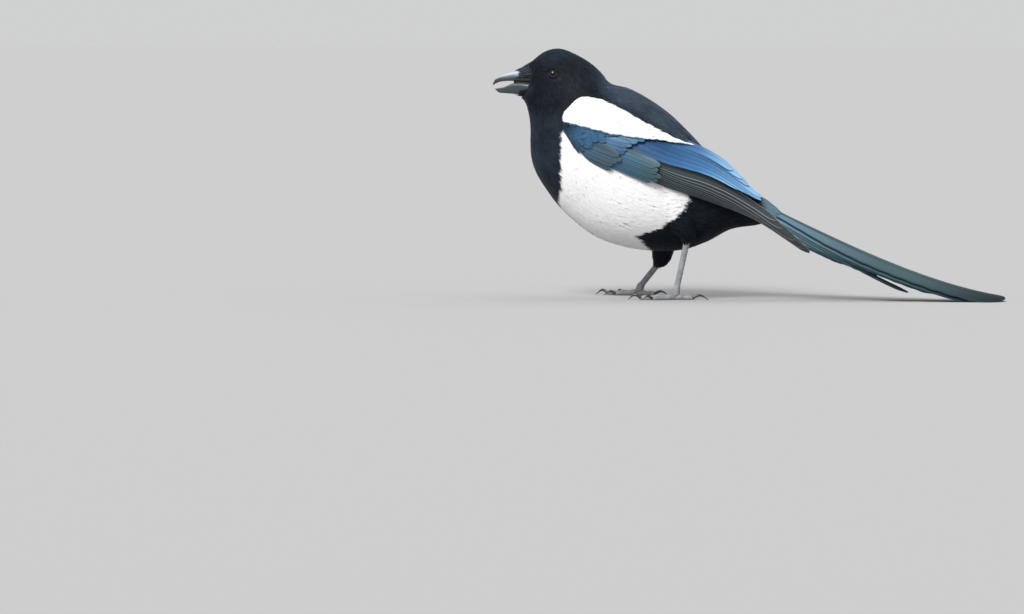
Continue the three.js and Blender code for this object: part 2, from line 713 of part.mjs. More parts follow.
// Materials, in the colours of the bird
const paint = (color, roughness, metalness = 0) =>
  new THREE.MeshStandardMaterial({ color, roughness, metalness });
const COLOURS = {
  black: paint(0x14151a, 0.75),
  white: paint(0xf2f0ec, 0.8),
  blue: paint(0x2a5c9a, 0.4, 0.2),
  teal: paint(0x2f5e66, 0.4, 0.2),
  horn: paint(0x23262a, 0.4),
  eye: paint(0x0b0b0d, 0.05),
  scale: paint(0x55585c, 0.6),
};

function meshOf(name, made, material) {
  const { vertProperties, triVerts, numProp } = made.getMesh();
  const positions = new Float32Array((vertProperties.length / numProp) * 3);
  for (let i = 0; i * numProp < vertProperties.length; i++)
    positions.set(vertProperties.subarray(i * numProp, i * numProp + 3), i * 3);
  const geometry = new THREE.BufferGeometry();
  geometry.setAttribute("position", new THREE.BufferAttribute(positions, 3));
  geometry.setIndex(new THREE.BufferAttribute(triVerts, 1));
  geometry.computeVertexNormals();
  const mesh = new THREE.Mesh(geometry, material);
  mesh.name = name;
  return mesh;
}

// The floor as a cutter, so that what is laid on it ends on a small flat at z = 0
function ground() {
  const block = new THREE.BoxGeometry(800, 800, 100);
  block.translate(0, 0, -50);
  return solid(block);
}

function build() {
  const bird = new THREE.Group();
  const add = (name, made, material) => bird.add(meshOf(name, made, material));
  const surface = sliceSurface(BODY);
  const sides = { left: LEFT, right: RIGHT };

  const [headFlesh, neck, torsoFlesh] = partBody(surface);
  const flesh = body(surface, { lift: GAP });
  const headForms = Object.values(sides).flatMap((side) => [
    lid(surface, side),
    ...Array.from({ length: BRISTLES.rows }, (_, row) => bristle(surface, side, row)),
  ]);
  const bill = (slices, lift = 0) => body(sliceSurface(slices), { perSlice: 2, round: 12, lift });
  const head = join([headFlesh, ...headForms])
    .subtract(join([UPPER_BILL, LOWER_BILL].map((slices) => bill(slices, GAP))))
    .subtract(gape())
    .subtract(join(Object.values(sides).map((side) => eyeball(surface, side, GAP))));
  add("head", largest(head), COLOURS.black);
  add("neck", neck, COLOURS.black);
  add("torso", torsoFlesh, COLOURS.white);
  add("upper_bill", bill(UPPER_BILL), COLOURS.horn);
  add("lower_bill", bill(LOWER_BILL), COLOURS.horn);
  for (const [name, side] of Object.entries(sides))
    add("eye_" + name, eyeball(surface, side), COLOURS.eye);

  const floor = ground();
  const feathers = tail([flesh, floor]);
  add("tail", feathers, COLOURS.teal);
  for (const [name, side] of Object.entries(sides))
    add("wing_" + name, wing(side, [flesh]), COLOURS.blue);

  for (const [name, leg] of Object.entries(LEGS)) {
    const thigh = thighSlices(leg);
    const { slices } = shankSlices(leg);
    const shank = limb(slices, { round: 8, perSlice: 1 });
    const made = foot(leg);
    add("thigh_" + name, largest(limb(thigh, { round: 12 }).subtract(flesh)), COLOURS.black);
    add("shank_" + name, largest(shank.subtract(limb(thigh, { round: 12, lift: GAP }))), COLOURS.scale);
    const shankSpace = limb(slices, { round: 8, perSlice: 1, lift: GAP });
    add("foot_" + name, largest(made.foot.subtract(shankSpace)), COLOURS.scale);
    for (const [digit, claw] of Object.entries(made.claws))
      add(`claw_${name}_${digit}`, claw, COLOURS.horn);
  }

  // The origin is the middle of the model's outline on the floor.
  const box = new THREE.Box3().setFromObject(bird, true);
  bird.position.set(-(box.min.x + box.max.x) / 2, -(box.min.y + box.max.y) / 2, 0);
  return bird;
}

export default build();
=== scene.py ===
# Looks of a Eurasian magpie that stands on level ground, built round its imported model.
# Shapes are worked out in the millimetres of the model's design and go into the scene in metres.
import json
import math

import bpy
import numpy as np
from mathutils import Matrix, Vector

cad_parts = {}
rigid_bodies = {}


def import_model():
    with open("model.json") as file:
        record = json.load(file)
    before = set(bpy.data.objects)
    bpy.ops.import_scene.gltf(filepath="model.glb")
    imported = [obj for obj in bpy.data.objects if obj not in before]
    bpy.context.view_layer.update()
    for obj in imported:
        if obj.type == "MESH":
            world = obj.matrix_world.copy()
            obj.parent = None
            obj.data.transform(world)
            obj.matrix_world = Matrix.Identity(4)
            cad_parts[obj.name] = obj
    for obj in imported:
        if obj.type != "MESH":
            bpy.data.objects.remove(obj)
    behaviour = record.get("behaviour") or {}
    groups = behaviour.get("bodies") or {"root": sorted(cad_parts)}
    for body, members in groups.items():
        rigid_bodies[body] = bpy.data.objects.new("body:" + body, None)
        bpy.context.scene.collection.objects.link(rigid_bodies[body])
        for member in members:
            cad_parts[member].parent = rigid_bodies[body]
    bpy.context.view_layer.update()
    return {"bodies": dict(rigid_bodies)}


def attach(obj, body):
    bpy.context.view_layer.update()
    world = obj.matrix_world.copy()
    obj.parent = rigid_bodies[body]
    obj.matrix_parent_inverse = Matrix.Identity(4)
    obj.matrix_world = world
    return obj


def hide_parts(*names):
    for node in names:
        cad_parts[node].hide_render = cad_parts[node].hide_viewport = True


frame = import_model()
scene = bpy.context.scene

# Driving dimensions, in millimetres of the design
ORIGIN = np.array([66.599, 4.445, 0.0])  # the record's origin as a place in the design
LEFT = -1
RIGHT = 1
SIDES = {"left": LEFT, "right": RIGHT}
COAT_DEPTH = 1.0  # from the tips of the small feathers down to the skin

# The body in slices from the root of the bill to the root of the tail: the back's x and z, the
# underside's x and z, half the width, how far down the slice is widest, and the sweep of its sides
BODY = [
    (-104.5, 174.3, -108.5, 152.0, 6.6, 0.45, 6.5),
    (-97.5, 181.2, -105.8, 150.0, 11.0, 0.48, 3.0),
    (-88.0, 187.6, -103.5, 146.5, 15.0, 0.5, 0),
    (-77.5, 189.2, -102.0, 141.5, 17.2, 0.5, 0),
    (-66.5, 185.4, -100.8, 135.0, 18.0, 0.48, 0),
    (-55.5, 179.3, -100.2, 127.0, 19.5, 0.5, 0),
    (-46.5, 171.8, -100.2, 117.5, 23.0, 0.52, 0),
    (-38.5, 162.9, -99.4, 106.5, 27.0, 0.52, 0),
    (-24.5, 159.2, -96.0, 95.5, 31.5, 0.5, 0),
    (-9.5, 151.4, -88.0, 82.5, 35.5, 0.48, 0),
    (6.2, 140.6, -73.8, 65.2, 38.0, 0.48, 0),
    (22.5, 125.4, -49.0, 46.2, 38.5, 0.5, 0),
    (37.0, 109.8, -18.0, 37.2, 35.0, 0.52, 0),
    (52.0, 95.5, 14.0, 36.4, 28.0, 0.5, 0),
    (65.5, 84.5, 35.5, 43.0, 20.5, 0.48, 0),
    (78.0, 76.5, 54.0, 52.6, 14.0, 0.46, 0),
    (89.0, 70.5, 72.5, 55.8, 10.5, 0.5, 0),
]
UPPER_BILL = [
    (-129.9, 162.6, -129.7, 161.4, 0.5, 0.5, 0),
    (-127.9, 166.1, -127.6, 162.6, 1.4, 0.7, 0),
    (-124.2, 168.4, -124.2, 163.9, 2.3, 0.75, 0),
    (-117.5, 170.5, -117.8, 164.5, 3.7, 0.8, 0),
    (-110.5, 172.3, -110.8, 164.4, 5.1, 0.8, 0),
    (-103.0, 173.2, -103.0, 163.7, 6.4, 0.75, 0),
    (-95.0, 172.8, -95.0, 163.2, 6.8, 0.7, 0),
]
LOWER_BILL = [
    (-128.1, 158.9, -127.8, 157.9, 0.5, 0.5, 0),
    (-125.4, 159.2, -125.2, 155.8, 1.4, 0.25, 0),
    (-120.8, 160.2, -120.8, 155.2, 2.4, 0.22, 0),
    (-115.0, 162.6, -115.0, 154.8, 3.7, 0.22, 0),
    (-109.0, 163.3, -109.0, 154.0, 5.1, 0.25, 0),
    (-103.0, 163.3, -103.0, 154.6, 6.4, 0.3, 0),
    (-95.0, 162.6, -95.0, 155.4, 6.8, 0.35, 0),
]
# The folded wing as a curved sheet: upper edge x and z, lower edge x and z, and how far out the sheet is
# at the upper edge, half way down and at the lower edge
WING = [
    (-70.5, 141.5, -68.3, 126.5, 22.5, 29.5, 29.0),
    (-54.0, 151.6, -50.5, 107.8, 22.5, 37.5, 35.5),
    (-26.5, 146.5, -21.8, 96.6, 23.0, 42.0, 39.2),
    (12.0, 125.0, 13.0, 84.4, 19.0, 41.0, 38.2),
    (42.0, 106.6, 46.0, 73.3, 8.0, 33.0, 31.0),
    (73.0, 79.5, 77.0, 60.4, 7.5, 24.5, 24.0),
    (117.5, 45.5, 118.5, 35.0, 19.0, 22.5, 21.5),
]
# What is added on each side to the height of each row's upper edge, and of its lower edge where it rises,
# and to how far out the row lies
WING_RISE = {LEFT: (0, 0, 0, 0.6, 1.2, 1.0, 0), RIGHT: (0, 0, 0, -1.4, -3.2, -3.0, 3.0)}
WING_ASIDE = {LEFT: (0, 0, 0, 0, 0, 0, 0), RIGHT: (0, 0, 0, 0, 0, 1.0, 4.2)}
# Each eye: its place on the body, the radius of its ball, how deep the ball's middle lies, the half width of
# the lids' opening, and how near the small feathers come
EYE_SLICE = 3.76
EYE_TURN = 1.24
EYE_BALL = 4.9
EYE_SUNK = 4.25
LID_OPENING = 2.4
EYE_BARE = 3.5
# Steps of the lids' fold round the eye, and points round the fold itself
LID_STEPS = 120
LID_AROUND = 14
# The tail's bent line in x and z, its roll to the left, how its feathers sag to their sides, how much
# shorter each pair is than the one within it, and how far one lies below the next
TAIL_LINE = [(73.5, 74.0), (196.0, 10.5), (263.0, 2.6)]
TAIL_ROLL = math.radians(10)
TAIL_DROOP = 0.009
TAIL_SHORTER = 23.0
TAIL_LAYER = 0.82
TAIL_PAIRS = 6
# One worn feather of the left side: its pair, how far out it lies, its half width, and how far its tip
# hangs below its neighbours
WORN_PAIR = 3
WORN_ASIDE = 17.2
WORN_HALF = 2.6
WORN_SAG = 4.4
# The tail's fleshy root: distance along the tail, half width, height above its line and depth below it
TAIL_ROOT = [
    (6, 10.0, 4.6, 8.0),
    (16, 10.2, 2.4, 8.6),
    (28, 9.6, -1.0, 8.0),
    (40, 8.6, -3.2, 6.8),
    (50, 6.5, -3.6, 5.4),
]
# Each leg: slices of the feathered thigh as x, outward y, z and its two half widths, then the joint of the
# toes, and how far the foot's heading turns outwards from the bird's own, in degrees
LEGS = {
    "left": {
        "thigh": [
            (4, 24, 84, 15, 11),
            (12, 24.5, 72, 13.5, 10.5),
            (19, 23.5, 60, 10.5, 9),
            (23.6, 22, 51.5, 8, 7.4),
            (24.6, 21.5, 46.5, 6, 5.6),
            (24.3, 21.3, 43.6, 3.6, 3.4),
        ],
        "toe_joint": (16.6, 23, 7.4),
        "heading": 8,
    },
    "right": {
        "thigh": [
            (-8, 20, 74, 15, 11),
            (-4, 21, 58, 12.5, 10.5),
            (-2, 21.5, 45, 10, 9),
            (-2, 22, 35.5, 8.4, 8),
            (-4, 23.8, 28.5, 6.6, 6.4),
            (-6.6, 26.2, 24.6, 3.8, 3.6),
        ],
        "toe_joint": (-22.0, 37.0, 7.4),
        "heading": 12,
    },
}
# The bare shank: its half widths fore and aft and from side to side, its lower joint, and the pitch of
# the scutes down its front
SHANK_FORE = 2.3
SHANK_ACROSS = 1.7
SHANK_KNOB = 2.9
SCUTE_PITCH = 3.4
# Toes: turn from the heading in degrees, length, height and half width at the root, length of the claw
TOES = {
    "inner": (-27, 19, 4.4, 2.1, 8.5),
    "middle": (0, 27, 4.8, 2.3, 9.5),
    "outer": (27, 20, 4.4, 2.1, 8.5),
    "hind": (180, 13.5, 4.6, 2.3, 12.0),
}
TOE_PLATE_PITCH = 1.9
TOE_TIP = 0.66  # the thickness of a toe's tip as a share of its root's
# Seeds of the random draws
SEEDS = {
    "coat": 100, "thighs": 200, "wings": 300, "tail": 401, "tail_coverts": 500, "bristles": 600,
    "chin": 650,
}
UPWARD = np.array([0.0, 0.0, 1.0])
RIGHTWARD = np.array([0.0, 1.0, 0.0])
ON_FLOOR = np.array([1, 1, 0])  # a place times this is the place below it on the floor


# Curves and surfaces
def spline(points):
    """A smooth curve through rows of numbers that passes row i at i, and runs on a little past both ends."""
    p = np.array(points, float)
    p = np.vstack([2 * p[0] - p[1], p, 2 * p[-1] - p[-2]])
    last = len(points) - 1

    def at(t):
        t = np.clip(np.asarray(t, float), -0.6, last + 0.6)
        i = np.clip(np.floor(t).astype(int), 0, last - 1)
        w = (t - i)[..., None]
        a, b, c, d = p[i], p[i + 1], p[i + 2], p[i + 3]
        leave = (c - a) / 2
        arrive = (d - b) / 2
        cubic = 2 * b - 2 * c + leave + arrive
        square = 3 * c - 3 * b - 2 * leave - arrive
        return ((cubic * w + square) * w + leave) * w + b

    return at


def unit(v):
    return v / np.maximum(np.linalg.norm(v, axis=-1, keepdims=True), 1e-9)


def mix(a, b, t):
    return a + (b - a) * t


def smooth(low, high, x):
    t = np.clip((x - low) / (high - low), 0, 1)
    return t * t * (3 - 2 * t)


def draws(kind, which=0):
    """A source of random draws with its own seed."""
    return np.random.default_rng(SEEDS[kind] + which)


def full_turn(count):
    """Even steps of one whole turn."""
    return np.linspace(0, 2 * np.pi, count, endpoint=False)


class Surface:
    """A surface on which two numbers give a place: one runs along its slices and one round them."""

    step = 0.01  # in slices and radians, between the places that the ways are worked out from

    def __init__(self, slices):
        self.line = spline(slices)
        self.last = len(slices) - 1

    def ways(self, s, turn):
        """The change of place for each slice and each radian, and the way out."""
        step = self.step
        along = (self.bare(s + step, turn) - self.bare(s - step, turn)) / (2 * step)
        around = (self.bare(s, turn + step) - self.bare(s, turn - step)) / (2 * step)
        return along, around, -unit(np.cross(along, around))

    def at(self, s, turn, lift=0.0):
        """Places lifted out of the surface."""
        s, turn = np.broadcast_arrays(np.asarray(s, float), np.asarray(turn, float))
        return self.bare(s, turn) + self.ways(s, turn)[2] * np.asarray(lift)[..., None]

    def unwrap(self, s, turn):
        """Places of the surface on a flat map."""
        return np.stack([(turn / (2 * np.pi)) % 1.0, s / self.last], -1)

    def rings(self, first, last, count, around, lift):
        """Rings of points round the surface between two slices."""
        s, turn = np.meshgrid(np.linspace(first, last, count), full_turn(around), indexing="ij")
        return self.at(s, turn, lift)


class Loft(Surface):
    """The surface through slices. A place is a slice number and a turn from the back round by the left."""

    def bare(self, s, turn):
        back_x, back_z, under_x, under_z, half, widest, swept = np.moveaxis(self.line(s), -1, 0)
        rise = np.cos(turn)
        down = np.where(rise > 0, widest * (1 - rise), widest - (1 - widest) * rise)
        aside = np.sin(turn)
        x = mix(back_x, under_x, down) + swept * aside**2
        return np.stack([x, -half * aside, mix(back_z, under_z, down)], -1)


class Limb(Surface):
    """A round limb through slices of a centre and two half widths."""

    def bare(self, s, turn):
        here = self.line(s)
        along = unit(self.line(s + 0.05)[..., :3] - self.line(s - 0.05)[..., :3])
        fore = unit(np.cross(RIGHTWARD, along))
        across = np.cross(along, fore)
        wide_fore = here[..., 3:4] * np.cos(turn)[..., None]
        wide_across = here[..., 4:5] * np.sin(turn)[..., None]
        return here[..., :3] + fore * wide_fore + across * wide_across

    def ways(self, s, turn):
        along, around, out = super().ways(s, turn)
        from_middle = self.bare(s, turn) - self.line(s)[..., :3]
        return along, around, out * np.sign(np.sum(out * from_middle, -1))[..., None]


class WingSheet(Surface):
    """The folded wing's sheet: u runs from the bend to the tip, v from the upper edge to the lower one."""

    def __init__(self, side):
        table = np.array(WING, float)
        rise = np.array(WING_RISE[side], float)
        aside = np.array(WING_ASIDE[side], float)
        out = side * (table[:, 4:7] + aside[:, None])
        self.upper = spline(np.stack([table[:, 0], out[:, 0], table[:, 1] + rise], 1))
        self.lower = spline(np.stack([table[:, 2], out[:, 2], table[:, 3] + np.maximum(0, rise)], 1))
        self.bulge = spline(out[:, 1:2])
        self.last = len(WING) - 1
        self.side = side

    def bare(self, u, v):
        u, v = np.broadcast_arrays(np.asarray(u, float), np.asarray(v, float))
        top = self.upper(u * self.last)
        low = self.lower(u * self.last)
        middle = (top + low) / 2
        middle[..., 1] = self.bulge(u * self.last)[..., 0]
        v = v[..., None]
        return top * (1 - v) * (1 - 2 * v) + middle * 4 * v * (1 - v) + low * v * (2 * v - 1)

    def ways(self, u, v):
        along, down, out = super().ways(u, v)
        return along, down, out * -self.side

    def unwrap(self, u, v):
        return np.stack([np.clip(u, 0, 1), np.clip(0.15 + 0.7 * v, 0, 1)], -1)


class TailLine:
    """The tail's middle line: places, and the ways across and up, by the distance from its root."""

    def __init__(self):
        a, b, c = (np.array([x, 0.0, z]) for x, z in TAIL_LINE)
        t = np.linspace(0, 1, 400)[:, None]
        self.points = a * (1 - t) ** 2 + 2 * b * t * (1 - t) + c * t**2
        steps = np.linalg.norm(np.diff(self.points, axis=0), axis=1)
        self.distance = np.concatenate([[0], np.cumsum(steps)])
        self.tangents = unit(2 * (b - a) * (1 - t) + 2 * (c - b) * t)
        self.length = self.distance[-1]

    def at(self, d):
        pick = [np.interp(d, self.distance, self.points[:, k]) for k in range(3)]
        lean = [np.interp(d, self.distance, self.tangents[:, k]) for k in range(3)]
        along = unit(np.stack(lean, -1))
        across = RIGHTWARD * math.cos(TAIL_ROLL) + np.cross(along, RIGHTWARD) * math.sin(TAIL_ROLL)
        return np.stack(pick, -1), across, np.cross(along, across)


class TailRoot(Surface):
    """The fleshy root of the tail as a surface for its coverts."""

    def bare(self, s, turn):
        d, half, high, low = np.moveaxis(self.line(s), -1, 0)
        p, across, up = tail_line.at(d)
        height = mix(-low, high, (1 + np.cos(turn)) / 2)
        return p + across * (-half * np.sin(turn))[..., None] + up * height[..., None]


body = Loft(BODY)
wing_sheets = {name: WingSheet(side) for name, side in SIDES.items()}
tail_line = TailLine()
tail_root = TailRoot(TAIL_ROOT)
thighs = {
    name: Limb([(x, side * y, z, fore, across) for x, y, z, fore, across in LEGS[name]["thigh"]])
    for name, side in SIDES.items()
}


# Meshes
PER_METRE = 1000
SHARP_EDGE = 1.2  # the least angle in radians between faces at which a vane's edge is sharp


def in_scene(points):
    return (np.asarray(points, float) - ORIGIN) / PER_METRE


def add_mesh(name, points, faces):
    """A mesh object in the scene from points in metres."""
    mesh = bpy.data.meshes.new(name)
    mesh.from_pydata(points, [], faces)
    thing = bpy.data.objects.new(name, mesh)
    scene.collection.objects.link(thing)
    return thing


def give_values(mesh, label, values):
    """Sets one number on each point of a mesh."""
    attribute = mesh.attributes.get(label) or mesh.attributes.new(label, "FLOAT", "POINT")
    attribute.data.foreach_set("value", np.asarray(values, np.float32).ravel())


def give_map(mesh, label, places):
    """Sets a place on a flat map for each corner of a mesh."""
    layer = mesh.uv_layers.new(name=label)
    layer.uv.foreach_set("vector", np.asarray(places, np.float32).ravel())


def finish_piece(piece, material, replaces=(), sharp=False):
    """Smooths a piece, gives it its material, and says what it rides on and replaces."""
    mesh = piece.data
    mesh.polygons.foreach_set("use_smooth", np.ones(len(mesh.polygons), bool))
    if sharp:
        mesh.set_sharp_from_angle(angle=SHARP_EDGE)
    mesh.update()
    mesh.materials.clear()
    mesh.materials.append(material)
    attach(piece, next(iter(frame["bodies"])))
    if replaces:
        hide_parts(*replaces)


def make_piece(name, slot, points, faces, material, maps=(), values=(), replaces=(), sharp=False):
    """A piece of the bird from points in millimetres, with its flat maps and its numbers for each point."""
    piece = add_mesh(name, in_scene(points), faces)
    for label, places in dict(maps).items():
        give_map(piece.data, label, places)
    for label, numbers in dict(values).items():
        give_values(piece.data, label, numbers)
    finish_piece(piece, material, replaces, sharp)


def ring_faces(rings, around):
    """Quads between closed rings of points that follow one another."""
    i = np.arange(rings - 1)[:, None] * around
    j = np.arange(around)[None, :]
    k = (j + 1) % around
    quads = np.stack([i + j, i + k, i + around + k, i + around + j], -1)
    return quads.reshape(-1, 4)


def closed_rings(rings):
    """Points and faces of rings that follow one another, with a fan of triangles over each end."""
    rings = np.asarray(rings, float)
    count, around = rings.shape[:2]
    points = np.vstack([rings.reshape(-1, 3), rings[0].mean(0), rings[-1].mean(0)])
    faces = [list(f) for f in ring_faces(count, around)]
    pole = count * around
    for j in range(around):
        k = (j + 1) % around
        faces.append([pole, k, j])
        faces.append([pole + 1, (count - 1) * around + j, (count - 1) * around + k])
    return points, faces


def ring_piece(name, slot, rings, material, replaces=(), values=(), flip=False):
    """A piece from rings of points with a fan over each end. Its values end with those of the two ends."""
    points, faces = closed_rings(rings)
    if flip:
        faces = [f[::-1] for f in faces]
    make_piece(name, slot, points, faces, material, values=values, replaces=replaces)


def corners(grid):
    """The four corners of each cell of a grid of point numbers."""
    return np.stack([grid[:-1, :-1], grid[:-1, 1:], grid[1:, 1:], grid[1:, :-1]], -1).reshape(-1, 4)


def lens(rows, columns):
    """The quads of one closed vane, an upper and a lower sheet that share their rim, and the row and column
    of each of its points. The lower sheet's own points come last."""
    upper = np.arange(rows * columns).reshape(rows, columns)
    lower = upper.copy()
    inside = (rows - 2) * (columns - 2)
    lower[1:-1, 1:-1] = rows * columns + np.arange(inside).reshape(rows - 2, columns - 2)
    quads = np.vstack([corners(upper), corners(lower)[:, ::-1]])
    row, column = np.divmod(np.arange(rows * columns), columns)
    inner_row, inner_column = np.divmod(np.arange(inside), columns - 2)
    row = np.concatenate([row, inner_row + 1])
    column = np.concatenate([column, inner_column + 1])
    face = np.concatenate([np.ones(rows * columns), -np.ones(inside)])
    rim = (row == 0) | (row == rows - 1) | (column == 0) | (column == columns - 1)
    return quads, row, column, np.where(rim, 0, face)


def repeated(quads, count, points):
    """The quads of one vane for each of several that follow one another in one piece."""
    return (quads[None] + (np.arange(count) * points)[:, None, None]).reshape(-1, 4)


# Markings and small feathers
BACK_X = [-60, -40, -20, 10, 40, 70]  # places along the back where heights are given
TUFT_AREA = 1.5  # a small feather's area as a share of its length times its half width
# Fractions whose multiples spread places evenly over a square
EVEN_ALONG = 0.7548776662466927
EVEN_AROUND = 0.5698402909980532


def white_share(p):
    """How white the plumage is at a place: the flank and belly, and the white shoulder under the wing."""
    x, y, z = np.moveaxis(p, -1, 0)
    front = np.interp(z, [60, 72, 82, 113, 124, 140], [-74, -76.5, -71.5, -70.5, -70.5, -68])
    heights = [30, 37, 42, 47.5, 49.5, 53.4, 61, 69.6, 77, 92]
    rear = np.interp(z, heights, [-6, -6, -10, -14, -9, 4, 17, 24.5, 27.5, 31])
    ragged = 0.7 * np.sin(z * 0.9 + y * 0.31) + 0.5 * np.sin(z * 1.9 - y * 0.8 + 1.3)
    behind_breast = smooth(-0.7, 0.7, x - front + 0.5 * ragged)
    before_vent = smooth(-0.8, 0.8, rear - x + 1.3 * ragged)
    below_back = smooth(-1.0, 1.0, np.interp(x, [-76, -60, -20, 40], [124, 130, 122, 100]) - z)
    return behind_breast * before_vent * below_back


def painted_sheen_share(p):
    """How much painted sheen lightens the black at a place: most on the mantle and at the corner of the
    mouth, and a little on crown and breast."""
    x, _, z = np.moveaxis(p, -1, 0)
    back = np.interp(x, BACK_X, [168, 152, 140, 122, 100, 80])
    mantle = smooth(-62, -35, x) * smooth(-6, 8, z - back) * (1 - smooth(40, 70, x))
    crown = 0.25 * smooth(174, 186, z)
    breast = 0.3 * smooth(-60, -85, x) * (1 - smooth(135, 150, z))
    mouth_corner = 0.8 * np.exp(-(((x + 101) / 3.5) ** 2) - ((z - 160) / 3.5) ** 2)
    return 1.1 * mantle + crown + breast + mouth_corner


def body_marks(_s, _turn, p):
    return white_share(p)


def all_dark(s, _turn, _p):
    return np.zeros(np.shape(s))


def scatter(surface, start, end, crowding, draw, sweep=(0, 2 * np.pi)):
    """Places spread evenly over a surface between two slices, with crowding(s, turn, place) roots to a
    square millimetre."""
    slices = np.linspace(start, end, 241)
    turns = np.linspace(sweep[0], sweep[1], 193)
    s, turn = np.meshgrid((slices[1:] + slices[:-1]) / 2, (turns[1:] + turns[:-1]) / 2, indexing="ij")
    along, around, _ = surface.ways(s, turn)
    cell = np.linalg.norm(np.cross(along, around), axis=-1)
    area = cell * (slices[1] - slices[0]) * (turns[1] - turns[0])
    share = area * crowding(s, turn, surface.bare(s, turn))
    count = int(share.sum())
    by_slice = np.concatenate([[0], np.cumsum(share.sum(1))])
    i = np.arange(count)
    a = (0.5 + i * EVEN_ALONG) % 1.0
    b = (0.5 + i * EVEN_AROUND) % 1.0
    found = np.interp(a, by_slice / by_slice[-1], slices)
    row = np.clip(np.searchsorted(slices, found) - 1, 0, len(slices) - 2)
    by_turn = np.concatenate([np.zeros((len(share), 1)), np.cumsum(share, 1)], 1)
    by_turn /= np.maximum(by_turn[:, -1:], 1e-9)
    place = np.zeros(count)
    for k in np.unique(row):
        here = row == k
        place[here] = np.interp(b[here], by_turn[k], turns)
    jitter = draw.normal(0, 0.002, (2, count))
    return found + (end - start) * jitter[0], place + (sweep[1] - sweep[0]) * jitter[1]


# A small feather's rows from root to tip, its columns from edge to edge, and how far each goes past its tip
TUFT_ROWS = np.array([0.0, 0.36, 0.68, 0.86, 1.0])
TUFT_COLUMNS = np.array([-1.0, -0.52, 0.0, 0.52, 1.0])
TUFT_PRONGS = np.array([0.02, -0.05, 0.05, -0.06, 0.02])
TUFT_PATCH = 0.003  # the size of its own patch on the flat map


def keep_clear(way, out, root, clear):
    """Turns the ways that feathers lie so that they pass round places which are kept clear."""
    for centre, reach in clear:
        away = root - centre
        distance = np.linalg.norm(away, axis=-1, keepdims=True)
        away = unit(away - out * np.sum(away * out, -1, keepdims=True))
        towards = np.minimum(0, np.sum(way * away, -1, keepdims=True))
        near = 1 - smooth(reach, reach * 2.2, distance)
        way = unit(way - away * towards * near)
    return way


def over_surface(step, along, around):
    """Steps in millimetres as slices and radians of the surface that they start from."""
    along_square = np.sum(along * along, -1)[:, None]
    around_square = np.sum(around * around, -1)[:, None]
    shared = np.sum(along * around, -1)[:, None]
    by_along = np.sum(step * along[:, None, :], -1)
    by_around = np.sum(step * around[:, None, :], -1)
    spread = np.maximum(along_square * around_square - shared * shared, 1e-9)
    slices = (around_square * by_along - shared * by_around) / spread
    return slices, (along_square * by_around - shared * by_along) / spread


def tuft_outline(t, a, prong):
    """How far along and how far aside a small feather reaches: narrow at its root and uneven at its tip."""
    opening = 0.66 + 0.34 * np.sin(np.minimum(t / 0.5, 1) * np.pi / 2)
    return 1 - 0.22 * a**2 + prong * t**5, opening * (1 - 0.34 * np.clip((t - 0.6) / 0.4, 0, 1) ** 2)


def tufts(name, slot, surface, roots, sizes, levels, material, draw, marks, heading=0.0, clear=()):
    """Small feathers as thin closed vanes that lie along the surface from their roots, in one piece. Their
    sizes are lengths and half widths, and their levels are the root's depth and the tip's height."""
    s, turn = roots
    length, half = sizes
    depth, rise = levels
    count = len(s)
    along, around, out = surface.ways(s, turn)
    ahead = unit(along)
    aside = np.cross(out, ahead)
    turned = heading + draw.normal(0, 0.07, count)
    way = ahead * np.cos(turned)[:, None] + aside * np.sin(turned)[:, None]
    way = keep_clear(way, out, surface.bare(s, turn), clear)
    beside = np.cross(out, way)
    quads, row, column, face = lens(len(TUFT_ROWS), len(TUFT_COLUMNS))
    t = TUFT_ROWS[row]
    a = TUFT_COLUMNS[column]
    prong = draw.normal(0, 0.05, (count, len(TUFT_COLUMNS))) + TUFT_PRONGS
    reach, width = tuft_outline(t, a, prong[:, column])
    far = length[:, None] * t * reach
    off = half[:, None] * a * width + 0.03 * length[:, None] * draw.normal(0, 1, count)[:, None] * t**2
    step = way[:, None, :] * far[..., None] + beside[:, None, :] * off[..., None]
    slices, radians = over_surface(step, along, around)
    new_s = s[:, None] + slices
    new_turn = turn[:, None] + radians
    up = mix(-depth[:, None], rise[:, None], t**0.3) + 0.05 * half[:, None] * (1 - a**2)
    up = up + face * (0.025 + 0.015 * half[:, None]) * (1 - 0.7 * t)
    points = surface.at(new_s, new_turn, up)
    keep = np.ones(count, bool)
    for centre, radius in clear:
        keep &= np.linalg.norm(points - centre, axis=-1).min(1) > radius
    points = points[keep]
    count = len(points)
    flat = surface.unwrap(s[keep], turn[keep])
    bake = flat[:, None, :] + TUFT_PATCH * np.stack([a / 2, t - 0.5], -1)[None]
    vane = np.stack([half[keep][:, None] * a, length[keep][:, None] * t], -1)
    vane = vane + draw.uniform(0, 50, (count, 1, 2))
    values = {
        "white": marks(new_s[keep], new_turn[keep], points + draw.normal(0, 0.5, (count, 1, 3))),
        # Each feather's tone is a random tone plus painted sheen on the mantle, crown, breast and mouth
        # corner.
        "tone": np.repeat(draw.uniform(-0.1, 0.2, count) + 1.5 * painted_sheen_share(points[:, 0]), len(t)),
        "reach": np.tile(t, count),
    }
    spots = quads.ravel()
    maps = {"OFBake": bake[:, spots], "Vane": vane[:, spots]}
    faces = repeated(quads, count, len(t))
    make_piece(name, slot, points.reshape(-1, 3), faces, material, maps, values, sharp=True)


# Materials
def feed(tree, socket, value):
    """Links a source to a socket, or sets its number or colour."""
    if isinstance(value, bpy.types.NodeSocket):
        tree.links.new(value, socket)
    elif socket.type == "RGBA":
        socket.default_value = (*value, 1)
    else:
        socket.default_value = value


def feed_all(tree, node, values):
    """Feeds several of a node's inputs by their names or numbers."""
    for label, value in values.items():
        feed(tree, node.inputs[label], value)


